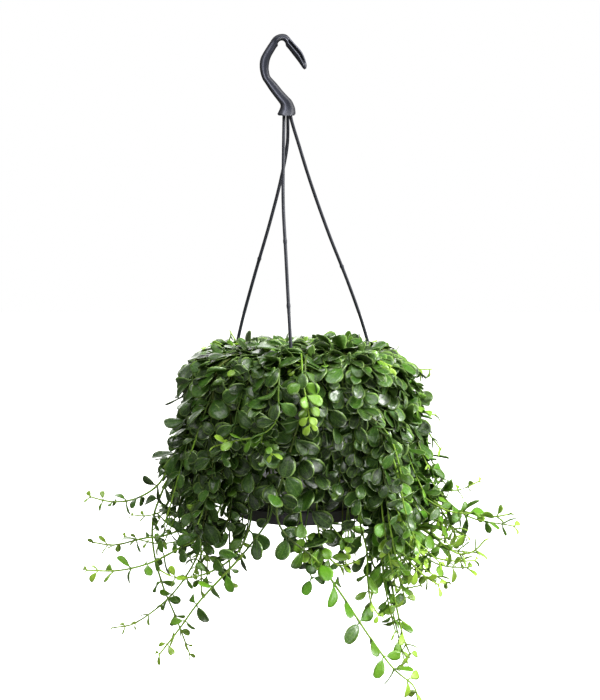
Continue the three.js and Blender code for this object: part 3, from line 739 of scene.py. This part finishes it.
trailing = {  # by side, for each stem: ring, root, lane, leaf scale and the route below the rim
    "left": [
        ("fourth", 200, 196, 1, [(-89, -30, -349), (-96, -30, -360), (-111, -28, -384), (-134, -25, -397),
            (-153, -22, -399), (-171, -20, -395)]),
        ("third", 168, 167, 1, [(-101, 26, -380), (-111, 30, -403), (-120, 34, -430), (-120, 36, -459),
            (-112, 36, -493), (-100, 34, -523), (-87, 30, -558)]),
        ("fourth", 155, 158, 0.7, [(-98, 42, -385), (-110, 48, -423), (-126, 52, -431), (-142, 55, -431)]),
        ("second", 178, 175, 1, [(-84, 10, -424), (-107, 12, -439), (-126, 14, -442), (-154, 16, -449),
            (-174, 18, -447)]),
        ("third", 150, 153, 0.8, [(-83, 60, -447), (-98, 64, -458), (-118, 68, -462), (-136, 70, -459),
            (-151, 72, -456)]),
        ("fourth", 245, 222, 1, [(-71, -70, -416), (-88, -72, -427), (-114, -74, -440), (-141, -76, -446),
            (-168, -78, -445)]),
        ("third", 210, 207, 0.7, [(-70, -41, -424), (-76, -42, -445), (-94, -44, -473), (-112, -46, -490),
            (-133, -48, -503), (-148, -50, -505)]),
        ("second", 255, 255, 1, [(-10, -98, -392), (-17, -98, -404), (-36, -96, -429), (-72, -92, -470),
            (-88, -90, -493), (-106, -88, -517)]),
        ("third", 240, 242, 1, [(-28, -80, -405), (-41, -82, -431), (-67, -84, -447), (-91, -86, -449),
            (-104, -88, -442)]),
    ],
    "right": [
        ("fourth", 20, 15, 0.8, [(119, 28, -378), (128, 30, -394), (144, 32, -401), (160, 34, -402),
            (179, 36, -394)]),
        ("second", 345, 344, 1, [(112, -28, -360), (120, -30, -382), (137, -32, -400), (159, -34, -405),
            (182, -36, -409), (198, -38, -406)]),
        ("third", 0, 0, 1, [(107, 0, -339), (112, 2, -361), (120, 4, -386), (132, 4, -411),
            (145, 4, -439)]),
        ("third", 330, 331, 1, [(94, -45, -383), (105, -48, -404), (130, -52, -423), (152, -56, -437),
            (164, -58, -434), (174, -60, -423)]),
        ("third", 30, 33, 1, [(105, 45, -433), (116, 50, -454), (136, 54, -470), (159, 58, -476),
            (179, 60, -476)]),
        ("fourth", 335, 314, 1, [(86, -74, -402), (94, -76, -419), (108, -80, -437), (121, -84, -449),
            (133, -86, -456)]),
        ("second", 315, 319, 1, [(84, -60, -428), (90, -62, -450), (98, -64, -483), (104, -66, -509),
            (110, -68, -524)]),
        ("third", 300, 307, 0.8, [(80, -86, -330), (82, -88, -372), (86, -88, -410), (93, -88, -444)]),
        ("first", 330, 330, 1, [(77, -40, -447), (89, -42, -464), (104, -44, -471), (120, -46, -468)]),
    ],
    "front": [
        ("fourth", 290, 273, 1.02, [(-5, -100, -388), (1, -100, -406), (29, -98, -431), (47, -96, -457),
            (74, -92, -500), (95, -90, -529), (112, -88, -545), (116, -86, -562)]),
        ("second", 285, 280, 1, [(30, -88, -407), (36, -90, -426), (48, -92, -437), (61, -94, -433)]),
        ("first", 298, 303, 1, [(65, -78, -401), (71, -80, -427), (72, -82, -452), (75, -84, -472),
            (82, -86, -483)]),
        ("third", 270, 272, 1, [(15, -92, -393), (20, -92, -415), (30, -90, -433)]),
    ],
}

trailingBack = [  # for each stem: ring, root, lane, and the reach and height of three points
    ("fourth", 65, 65, (112, 128, 139), (-400, -452, -500)),
    ("fourth", 110, 112, (114, 136, 152), (-398, -430, -436)),
    ("third", 60, 48, (106, 130, 158), (-404, -436, -446)),
    ("third", 90, 88, (104, 110, 113), (-392, -420, -442)),
    ("third", 120, 130, (106, 126, 142), (-408, -460, -502)),
]

crown = [  # for each shoot: azimuth and radius of its root, and its route
    (165, 26, [(-20, 12, -270), (-36, 17, -267), (-42, 19, -263), (-48, 20, -253)]),
    (5, 7, [(32, 1, -265), (60, 8, -263), (86, 13, -267), (108, 15, -280), (120, 14, -287),
        (132, 14, -287)]),
    (351, 41, [(74, -20, -262), (92, -25, -273), (104, -29, -297), (115, -30, -315), (133, -31, -320)]),
    (268, 7, [(14, -30, -263), (15, -60, -258), (16, -88, -262), (17, -105, -277), (21, -112, -298),
        (23, -114, -313)]),
    (178, 8, [(4, -22, -263), (1, -52, -258), (-2, -84, -262), (-3, -104, -284), (-5, -111, -309),
        (-19, -108, -322), (-36, -101, -327), (-57, -94, -334)]),
]

curtain = {  # root and lane of each stem that hangs round the pot; in the first ring they are the same
    "second": [(15, 10), (45, 40), (75, 77), (105, 104), (133, 129), (195, 201), (225, 230)],
    "first": [3, 36, 68, 101, 138, 167, 199, 237, 258],
    "shortZ": -418, "sideDrop": 42, "dropSpread": 26, "sway": 7, "buried": 11, "armClearance": 7,
    "openLane": 261, "openWidth": 30, "openRise": 40,
}

crest = {  # the outline of the crown, which the arches and the tips of the leaves keep to
    "lowZ": -270, "frontShare": 0.75, "backShare": 0.12, "topZ": -261, "backTopZ": -265, "slope": 0.165,
    "shoulderX": 11, "shoulderR": 77, "shoulderSlope": 0.9, "hangShare": 0.6, "hangDrop": 30,
    "proud": (-5, -2, 0, 1, 4),
}


def drawsFrom(seed):  # the draws between 0 and 1 that the solids were made with
    state = seed * 7919 + 104729
    while True:
        state = state * 16807 % 2147483647
        yield state / 2147483647


def turnFrom(azimuth, other):  # how far the azimuth lies from the other one, -180 to 180
    return (azimuth - other + 180) % 360 - 180


def clearOfArms(azimuth, room=curtain["armClearance"]):
    for arm in arms.values():
        off = turnFrom(azimuth, arm["azimuth"])
        if abs(off) < room:
            return arm["azimuth"] + (-room if off < 0 else room)
    return azimuth


def archOver(rootR, crestZ, hangR, root, lane):  # out of the soil, over the rim and down outside it
    firstZ, firstR = rings["first"][1:]
    back = sqrt((1 + sin(radians(lane))) / 2)
    kept = crest["frontShare"] + (crest["backShare"] - crest["frontShare"]) * back
    crestZ = crest["lowZ"] + (crestZ - firstZ + 2.5) * kept
    hangR = firstR + (hangR - firstR) * crest["hangShare"]
    out = pot["rimR"] - rootR
    turn = lane - root
    return [
        around(root, rootR, pot["soilTopZ"] - curtain["buried"]),
        around(root, rootR, pot["soilTopZ"] + 4),
        around(root + turn * 0.3, rootR + 0.25 * out, crestZ - 5),
        around(root + turn * 0.8, rootR + 0.75 * out, crestZ),
        around(lane, pot["rimR"] + 0.6 * (hangR - pot["rimR"]) + 1.5, crestZ - 9),
        around(lane, hangR, crestZ - crest["hangDrop"]),
    ]


def openAt(lane):  # 1 in front, where the saucer shows, and 0 away from there
    return min(1, max(0, 1.6 * (1 - abs(turnFrom(lane, curtain["openLane"])) / curtain["openWidth"])))


def curtainPoints(ring, root, lane, endDraw, swayDraw):
    crestZ, hangR = ring[1:]
    side = cos(radians(lane)) ** 2
    endZ = curtain["shortZ"] - curtain["sideDrop"] * side - curtain["dropSpread"] * endDraw
    endZ += curtain["openRise"] * openAt(lane)
    sway = (swayDraw - 0.5) * curtain["sway"]
    startZ = crestZ - crest["hangDrop"]
    points = archOver(*ring, root, lane)
    for share in (0.3, 0.65, 1):
        points.append(around(lane + sway * share ** 2, hangR + 3 * share, startZ + (endZ - startZ) * share))
    return points


def trailingStems():  # name, side, ring, root, lane, leaf scale and route of each
    for side, stems in trailing.items():
        for number, stem in enumerate(stems, 1):
            yield f"stem_{side}_{number}", side, *stem
    for number, (ring, root, lane, reach, depth) in enumerate(trailingBack, 1):
        route = [around(lane + 3 * k, reach[k], depth[k]) for k in range(3)]
        yield f"stem_back_{number}", "back", ring, root, lane, 1, route


def listStems():  # name, points, leaf scale and stem radius of each stem of the solids
    stems = []
    for name, side, ring, root, lane, small, route in trailingStems():
        points = archOver(*rings[ring], root, clearOfArms(lane)) + [Vector(p) for p in route]
        stems.append((name, points, small, 1 if side == "back" else 0.9 if small < 1 else 1.02))
    pairs = [("second", root, lane, 60 + i) for i, (root, lane) in enumerate(curtain["second"])]
    pairs += [("first", lane, lane, 80 + i) for i, lane in enumerate(curtain["first"])]
    for number, (ring, root, lane, seed) in enumerate(pairs, 1):
        draw = drawsFrom(seed)
        points = curtainPoints(rings[ring], root, clearOfArms(lane), next(draw), next(draw))
        stems.append((f"stem_curtain_{number}", points, 1, 1))
    for number, (root, rootR, route) in enumerate(crown, 1):
        points = [around(root, rootR, pot["soilTopZ"] + z) for z in (-curtain["buried"], 21)]
        stems.append((f"stem_crown_{number}", points + [Vector(p) for p in route], 0.9, 0.8))
    return stems


# Leaves

leaf = {  # one that hangs free is narrower and has a longer stalk
    "length": 22, "width": 0.335, "thickness": 1.3, "petiole": 0.13, "petioleWidth": 0.92, "internode": 18,
    "notchAt": 0.78, "notch": 0.05, "camber": 0.5, "cup": 0.16, "skew": 0.12, "youngLength": 62,
    "stalk": (0.1, 0.18), "freeStalk": (0.11, 0.2), "base": (0.5, 0.76), "freeBase": (0.52, 0.76),
    "freeWidth": 0.8,
}


def leafTemplate():  # each point's place along the leaf, across it and above or below it, and the faces
    petiole = leaf["petiole"]
    blade = [0, 0.1, 0.26, 0.44, 0.62, 0.78, 0.88, 0.95, 0.99]
    stations = [0] + [petiole + (1 - petiole) * t for t in blade]
    section = [(-1, 1), (-0.55, 1), (0, 1), (0.55, 1), (1, 1), (0, -1)]
    faces = tubeFaces(len(stations), len(section))
    return np.array([(s, u, v) for s in stations for u, v in section], float), faces[:-2], faces[-2:]


leafPoints, leafFaces, leafCaps = leafTemplate()


def unit(vectors):
    return vectors / np.maximum(np.linalg.norm(vectors, axis=1, keepdims=True), 1e-9)


def addLeaves(builder, leaves):  # each leaf: foot, reach, face, length, youth with painted light, tint with painted light and 1 if it hangs free
    if not leaves:
        return
    foot, reach, face, sizes, youthAndPaintedLight, tint, free = (np.array(values, float) for values in zip(*leaves))
    draw = np.random.default_rng(len(leaves) * 31 + builder.count)
    n, m = len(leaves), len(leafPoints)
    free = free[:, None]
    length = sizes[:, None]

    def either(*ranges):  # a number from the first range for a leaf that hangs free, else from the second one
        return np.where(free > 0, *(draw.uniform(*leaf[name], (n, 1)) for name in ranges))

    def spread(middle, deviation):
        return draw.normal(middle, deviation, (n, 1))

    reach = unit(reach)
    face = unit(face - reach * (face * reach).sum(1, keepdims=True))
    across = np.cross(reach, face)
    s, u, v = leafPoints.T[:, None, :]
    t = np.clip((s - leaf["petiole"]) / (1 - leaf["petiole"]), 0, 1)
    stalks = either("freeStalk", "stalk")
    s = np.where(t > 0, stalks + (1 - stalks) * t, stalks * s / leaf["petiole"])

    # The outline is at its widest at peak, and has a shallow notch near the tip
    narrowing = either("freeBase", "base")
    widest = spread(2.1, 0.3).clip(1.6, 2.9)
    peak = (2 * narrowing / (2 * narrowing + widest)) ** (1 / widest)
    outline = t ** narrowing * np.sqrt(1 - t ** widest) / (peak ** narrowing * np.sqrt(1 - peak ** widest))
    notch = leaf["notch"] * np.exp(-((t - leaf["notchAt"]) / 0.03) ** 2) * draw.random((n, 1)) * 2
    outline = outline * (1 - notch)
    scale = np.sqrt(length / leaf["length"])
    stalk = leaf["petioleWidth"] * scale
    waist = 1 - 0.35 * (s > 0.05) * (t < 0.05)
    width = leaf["width"] * np.where(free > 0, leaf["freeWidth"], 1) * spread(1, 0.08)
    half = np.maximum(outline * length * (1 - stalks) / 0.87 * width, stalk * waist)

    # Height: bent along the leaf, cupped and skewed across it, fleshy, with a sunk rib and a waved edge
    camber = spread(leaf["camber"], 0.35).clip(-0.4, 1.5) + 1e-3
    cup = spread(leaf["cup"], 0.12)
    skew = spread(0, leaf["skew"])
    lengthwise = length * np.sin(camber * s) / camber
    fleshy = leaf["thickness"] * scale / 2
    thick = np.maximum(fleshy * np.sqrt(np.maximum(1 - t ** 4, 0)), stalk * (1 - t))
    height = -length * (1 - np.cos(camber * s)) / camber
    height = height + cup * half * np.abs(u) ** 1.7 + skew * half * u * t
    height = height + np.where(v > 0, 1, -1) * thick * np.sqrt(1 - u ** 2)
    rib = np.where((v > 0) & (np.abs(u) < 0.1), 0.22, 0) * np.sin(np.pi * t)
    height = height - rib * fleshy
    height = height + 0.02 * length * np.sin(7 * t + draw.uniform(0, 6, (n, 1))) * np.abs(u) * t
    lengthwise, sideways = np.broadcast_arrays(lengthwise, half * u)
    places = foot[:, None] + reach[:, None] * lengthwise[..., None] + across[:, None] * sideways[..., None]
    places = places + face[:, None] * height[..., None]

    data = np.zeros((n, m, 3))
    data[..., 0] = youthAndPaintedLight[:, None]
    data[..., 1] = tint[:, None]
    data[..., 2] = np.maximum(np.abs(u), (t > 0.97) * 1.0)
    under = np.broadcast_to(((v < 0) & (np.abs(u) < 1)) * 1.0, (n, m))
    faces = (np.array(leafFaces)[None] + np.arange(n)[:, None, None] * m).reshape(-1, 4).tolist()
    for cap in leafCaps:
        faces += (np.array(cap)[None] + np.arange(n)[:, None] * m).tolist()
    builder.add(places.reshape(-1, 3), [tuple(f)[::-1] for f in faces], data.reshape(-1, 3), under.ravel())
    builder.leaves += n


armPoints = np.concatenate([
    smoothRoute([(*arm["socket"], -70), *arm["route"], around(arm["azimuth"], armShape["circleR"], -276)], 8)
    for arm in arms.values()
])


def isClear(at, reach, size):  # the leaf meets neither an arm nor the pot
    for share in (0.35, 0.7, 1):
        p = at + reach * size * share
        if np.linalg.norm(armPoints - np.array(p), axis=1).min() < armShape["leafRoom"]:
            return False
        r = hypot(p.x - pot["x"], p.y)
        highest = pot["soilTopZ"] + 2 if r < pot["rimR"] - 3 else pot["rimTopZ"] + 1
        if p.z < highest and r < pot["rimR"] + 1:
            return False
    return True


band = {"lane": 274, "width": 36, "lowZ": -417, "highZ": -387, "share": 0.75}  # where the saucer's edge shows


def hidesSaucer(draw, middle):  # true for most of the leaves in front of the edge, which are left out
    off = abs(turnFrom(degrees(atan2(middle.y, middle.x - pot["x"])), band["lane"]))
    return band["lowZ"] < middle.z < band["highZ"] and off < band["width"] and draw.random() < band["share"]


growth = {  # young, curtainYoung and fillYoung are lengths behind the tip along which leaves are young
    "forward": (-0.15, 0.6), "droop": (0.0, 0.95), "wander": 0.4, "roll": 0.6, "facing": 0.3,
    "tipSpacing": 0.42, "young": 58, "curtainYoung": 20, "fillYoung": 13,
}
onTop = {"overZ": -275, "wander": 0.58, "facing": 0.5}
onArch = {"overZ": -285, "wander": 0.58, "spacing": 0.85}
farOut = {  # out of the mass, on its own
    # fresh and paintedSunSkin are painted light: stems out of the mass are drawn lighter, more so on the lit
    # side
    "overR": 116, "underZ": -425, "spacing": 1.12, "tipSpacing": 0.56, "size": 0.97, "leftSize": 0.82,
    "droop": 0.35, "facing": 0.9, "swell": 1.15, "fresh": 0.5, "paintedSunSkin": 0.35,
}
paintedSun = {  # the side towards the light, where leaves and stems are painted lighter and younger-green
    "fromX": 62, "spanX": 90, "underZ": -330, "spanZ": 120, "youthAndPaintedLight": 0.36, "tint": 0.3,
}
# painted light low down: leaves there are painted lighter and younger-green
paintedLowLight = {"underZ": -402, "spanZ": 50, "youthAndPaintedLight": 0.46, "farPaintedLight": 0.3, "tint": 0.5}


def isFar(at):
    return hypot(at.x - pot["x"], at.y) > farOut["overR"] or at.z < farOut["underZ"]


def paintedSunAt(at):  # how much painted light a place gets: leaves are painted lighter towards the light, most of all low down
    return rise(at.x, paintedSun["fromX"], paintedSun["spanX"]) * (0.35 + 0.65 * rise(-at.z, -paintedSun["underZ"], paintedSun["spanZ"]))


def underCrest(at, reach, size, proud):  # the reach, lowered until the tip keeps to the outline of the crown
    c = crest
    for attempt in range(3):
        tip = at + reach * size
        shoulder = max(0, hypot(tip.x - c["shoulderX"], tip.y) - c["shoulderR"]) * c["shoulderSlope"]
        over = tip.z - (max(c["topZ"] - c["slope"] * tip.y, c["backTopZ"]) - shoulder + proud)
        if over > 0:
            reach = (reach - Vector((0, 0, over / size))).normalized()
    return reach


def leavesAt(draw, at, along, radius, crossed, toTip, small, freshness):  # the pair at one node of a stem
    out = Vector((at.x - pot["x"], at.y, 0)).normalized()
    face = out * -along.z + Vector((0, 0, 1 - abs(along.z) + 0.45))
    side = along.cross(face).normalized()
    up = side.cross(along)
    free, light = isFar(at), paintedSunAt(at)
    high = at.z > onTop["overZ"]
    grown = min(1, toTip / leaf["youngLength"])
    roll = crossed * 1.35 + draw.uniform(-1, 1) * growth["roll"]
    pair = []
    for hand in (1, -1):
        reach = (side * cos(roll) + up * sin(roll)) * hand
        if reach.dot(up) < -0.35 and not free:
            reach = (side * draw.choice((-1, 1)) + up * draw.uniform(0, 0.7)).normalized()
        droop = draw.uniform(*growth["droop"]) * grown * (farOut["droop"] if free else 1)
        forward = draw.uniform(*growth["forward"]) + (1 - grown) * 0.6
        reach = (reach + along * forward - Vector((0, 0, droop))).normalized()
        size = leaf["length"] * (small if free else min(small, 1)) * draw.uniform(0.78, 1.12)
        size *= 0.44 + 0.56 * grown ** 0.8
        size *= farOut["leftSize" if at.x < 0 else "size"] if free else 1
        reach = underCrest(at, reach, size, draw.choice(crest["proud"]))
        wander = Vector((draw.gauss(0, 1), draw.gauss(0, 1), draw.gauss(0, 1)))
        wander *= (onTop if high else onArch if at.z > onArch["overZ"] else growth)["wander"]
        facing = up + Vector((0, 0, (onTop if high else growth)["facing"])) + wander
        facing += out * farOut["facing"] if free else Vector()
        # painted light: youth and tint are raised on the lit side and low down, which draws these leaves
        # lighter
        low = rise(-at.z, -paintedLowLight["underZ"], paintedLowLight["spanZ"])
        youthAndPaintedLight = max(0, 1 - toTip / freshness) + draw.uniform(-0.14, 0.12) + (1 - small) * 0.4
        youthAndPaintedLight += light * paintedSun["youthAndPaintedLight"] + low * paintedLowLight["farPaintedLight" if free else "youthAndPaintedLight"]
        tint = min(1, max(0, draw.random() + paintedSun["tint"] * (2 * light - 0.5) + paintedLowLight["tint"] * low))
        if isClear(at, reach, size) and not hidesSaucer(draw, at + reach * size * 0.6):
            pair.append((at + reach * radius * 0.4, reach, facing, size, min(1, max(0, youthAndPaintedLight)), tint, free))
    return pair


def leafyStem(builder, points, small, radius, seed, freshness, firstLeaf=18, lastLeaf=2.0):
    draw = random.Random(seed)
    route = Route(points)
    length = route.length
    leaves, nodes = [], []
    toTip = lastLeaf
    while length - toTip > curtain["buried"] + firstLeaf:
        distance = length - toTip
        grown = min(1, toTip / leaf["youngLength"])
        at = route.at(distance)
        far = isFar(at)
        leaves += leavesAt(draw, at, route.along(distance), radius, len(nodes) % 2, toTip, small, freshness)
        nodes.append(distance)
        spacing = farOut["spacing"] if far else onArch["spacing"] if at.z > onArch["overZ"] else 1
        closeness = (farOut if far else growth)["tipSpacing"]
        step = leaf["internode"] * draw.uniform(0.75, 1.15) * (closeness + (1 - closeness) * grown)
        toTip += step * (0.7 + 0.3 * small) * spacing
    addLeaves(builder, leaves)
    route.length = length - lastLeaf + 2  # the stem ends at its last pair
    nodes = np.array(nodes + [-99])
    tint = draw.random()

    def swellAt(distance):
        return min(1, np.exp(-((nodes - distance) / 1.2) ** 2).sum())

    def radiusAt(distance):
        thick = radius * (farOut["swell"] if isFar(route.at(distance)) else 1)
        return thick * (1 - 0.36 * (distance / length) ** 3) * (1 + 0.22 * swellAt(distance))

    def skinAt(distance):
        at = route.at(distance)
        # painted light: stems out of the mass are drawn lighter, more so on the lit side; towards the tip a
        # stem is young
        fresh = farOut["fresh"] + farOut["paintedSunSkin"] * paintedSunAt(at) if isFar(at) else 0
        fresh = max(fresh, 1 - (length - distance) / (2 * freshness))
        return min(1, fresh) * 0.9, tint, swellAt(distance)

    tube(builder, route, radiusAt, skinAt, 5, 5, 1)


def foliagePiece(name, builder, slot="foliage", nodes=()):
    finishPiece(name, builder.mesh(name), slot, nodes, [finishes["stem"]])


leafCount = 0
for stemNumber, (stemName, stemPoints, stemSmall, stemRadius) in enumerate(listStems()):
    stemBuilder = Builder()
    stemYoung = growth["curtainYoung" if "curtain" in stemName else "young"]
    leafyStem(stemBuilder, stemPoints, stemSmall, stemRadius, 900 + stemNumber, stemYoung)
    leafCount += stemBuilder.leaves
    stemSlot = "young_foliage" if stemSmall < 1 else "foliage"
    foliagePiece(stemName + "_leafy", stemBuilder, stemSlot, [stemName])
print("stems of the solids grown:", leafCount, "leaves")


# Further stems, which fill the mass

curtainFill = {  # pairs are the ends of a range that is drawn from
    "stems": {"first": 14, "second": 22, "third": 26, "fourth": 28}, "groups": 6, "radius": 0.8,
    "rootShift": (-9, 5), "crestShift": (-2, 2), "hangShift": (-4, 3), "rootTurn": (-14, 14),
    "wander": (-3, 3), "wave": (-4, 4), "flare": 4, "splay": (0, 34), "small": (0.85, 1.02),
    "frontEndZ": -370, "sideEndZ": -422, "leftEndZ": -412, "endSpread": 27,
    "thinLane": 290, "thinWidth": 20, "thinShare": 0.7, "freshness": (0.2, 0.5, 1.3),
}
lastLeaves = (2, 10, 18)  # where the last pair of a fill stem stands, counted from the end of its route


def fillCurtain(builders):
    f = curtainFill
    draw = random.Random(41)
    for ringName, number in f["stems"].items():
        for i in range(number):
            lane = clearOfArms(360 * (i + draw.uniform(-0.35, 0.35)) / number, 8)
            rootR, crestZ, hangR = rings[ringName]
            rootR = max(6, rootR + draw.uniform(*f["rootShift"]))
            crestZ += draw.uniform(*f["crestShift"])
            hangR += draw.uniform(*f["hangShift"])
            points = archOver(rootR, crestZ, hangR, lane + draw.uniform(*f["rootTurn"]), lane)
            near = hypot(points[-1].x - pot["x"], points[-1].y)
            startZ = points[-1].z
            side = abs(cos(radians(lane))) ** 1.5
            lowest = f["leftEndZ" if 90 < lane % 360 < 250 else "sideEndZ"]
            endZ = f["frontEndZ"] + (lowest - f["frontEndZ"]) * side + draw.uniform(-1, 1) * f["endSpread"]
            endZ += curtain["openRise"] * openAt(lane)
            azimuth = lane
            splay = draw.uniform(*f["splay"]) * side
            for share in (0.25, 0.5, 0.75, 1):
                azimuth += draw.uniform(*f["wander"])
                reach = near + (hangR + f["flare"] - near) * share + draw.uniform(*f["wave"]) * share
                points.append(around(azimuth, reach + splay * share ** 3, startZ + (endZ - startZ) * share))
            if abs(turnFrom(lane, f["thinLane"])) < f["thinWidth"] and draw.random() < f["thinShare"]:
                continue
            group = int(lane % 360 // (360 / f["groups"])) % f["groups"] + 1
            builder = builders[f"curtain_fill_{group}"]
            # painted light: on the lit side the young, lighter part of the stem is longer
            fresh = growth["fillYoung"] * draw.choice(f["freshness"]) * (1 + 3 * paintedSunAt(points[-1]))
            last = draw.choice(lastLeaves)
            small = draw.uniform(*f["small"])
            seed = draw.randrange(10000)
            leafyStem(builder, points, small, f["radius"], seed, fresh, lastLeaf=last)


besides = {  # how many, their shortest and longest share of the stem, and how many are nearly as long as it
    "left": (3, 0.3, 0.7, 0),
    "right": (5, 0.3, 0.85, 2),
    "front": (3, 0.5, 0.95, 0),
    "back": (1, 0.3, 0.9, 0),
}
besideShape = {
    "turn": (-16, 16), "rootTurn": (-8, 8), "spread": 15, "radius": 0.85, "freshness": (0.2, 1.2),
    "small": {"left": (0.74, 0.96), "right": (0.86, 1.08), "front": (0.86, 1.08), "back": (0.86, 1.08)},
}
alone = (  # these have no others beside them
    "stem_left_1", "stem_left_2", "stem_left_8", "stem_right_1", "stem_front_1", "stem_front_4",
)


def fillBeside(builders):  # shorter stems on either side of the trailing ones
    b = besideShape
    draw = random.Random(63)
    for name, side, _, _, lane, _, route in trailingStems():
        number, shortest, longest, whole = besides[side]
        builder = builders[f"trailing_fill_{side}"]
        for i in range(number):
            azimuth = clearOfArms(lane + draw.uniform(*b["turn"]))
            ring = rings[draw.choice(("second", "third", "fourth"))]
            points = archOver(*ring, azimuth + draw.uniform(*b["rootTurn"]), azimuth)
            shift = Vector((draw.gauss(0, 1), draw.gauss(0, 1), draw.gauss(0, 0.8))) * b["spread"]
            course = Route([points[-1], *(Vector(p) for p in route)])
            share = draw.uniform(0.85, 1) if i < whole else draw.uniform(shortest, longest)
            for k in (1, 2, 3, 4):
                points.append(course.at(course.length * share * k / 4) + shift * k / 4)
            # painted light: on the lit side the young, lighter part of the stem is longer
            fresh = growth["curtainYoung"] * draw.uniform(*b["freshness"]) * (1 + 1.4 * paintedSunAt(points[-1]))
            small = draw.uniform(*b["small"][side])
            last = draw.choice(lastLeaves)
            seed = draw.randrange(10000)
            if name not in alone:
                leafyStem(builder, points, small, b["radius"], seed, fresh, lastLeaf=last)


crownFill = {
    "stems": 60, "outR": 68, "height": (14, 24), "lean": (10, 34), "turn": 137.5, "sway": (-12, 12),
    "nod": (-3, 6), "small": (0.8, 1), "radius": 0.9, "freshness": (8, 20, 40),
}


def fillCrown(builders):
    f = crownFill
    draw = random.Random(97)
    for i in range(f["stems"]):
        azimuth = i * f["turn"] + draw.uniform(*f["sway"])
        rootR = f["outR"] * sqrt((i + 0.5) / f["stems"])
        back = (1 + sin(radians(azimuth))) / 2 * rootR / f["outR"]
        height = draw.uniform(*f["height"]) * (1 - 0.35 * back)
        lean = draw.uniform(*f["lean"])
        tipZ = height - draw.uniform(*f["nod"])
        course = [(0, 0, -6), (0, 1, height * 0.5), (3, lean * 0.45, height), (8, lean, tipZ)]
        points = [around(azimuth + turn, rootR + out, pot["soilTopZ"] + z) for turn, out, z in course]
        fresh = draw.choice(f["freshness"])
        small = draw.uniform(*f["small"])
        leafyStem(builders["crown_fill"], points, small, f["radius"], draw.randrange(10000), fresh, 2)


fillNames = [f"curtain_fill_{number + 1}" for number in range(curtainFill["groups"])]
fillNames += [f"trailing_fill_{sideName}" for sideName in besides]
fillBuilders = {fillName: Builder() for fillName in [*fillNames, "crown_fill"]}
for fillStems in (fillCurtain, fillBeside, fillCrown):
    fillStems(fillBuilders)
for fillName, fillBuilder in fillBuilders.items():
    foliagePiece(fillName, fillBuilder)
leafCount = sum(fillBuilder.leaves for fillBuilder in fillBuilders.values())
print("fill stems grown:", leafCount, "leaves")


# Floor

ground = {  # reach and height in metres
    "reach": 4, "z": -0.78, "glow": 0.95, "dark": (0.84, 0.84, 0.84, 1), "light": (0.9, 0.9, 0.9, 1),
}


def buildFloor():
    mesh = bpy.data.meshes.new("floor")
    reach, z = ground["reach"], ground["z"]
    corners = [(-reach, -reach, z), (reach, -reach, z), (reach, reach, z), (-reach, reach, z)]
    mesh.from_pydata(corners, [], [(0, 1, 2, 3)])
    floor = addObject("floor", mesh)
    constants = {"Roughness": 0.9, "Emission Color": (1, 1, 1, 1), "Emission Strength": ground["glow"]}
    finish = Finish("pale floor", constants)
    finish.feed(Base_Color=finish.layers(ground["dark"], (finish.noise(400, 3), ground["light"])))
    mesh.materials.append(finish.material)
    floor.visible_diffuse = False  # the floor is bright to look at, but doesn't light the plant from below
    floor.visible_glossy = False


buildFloor()
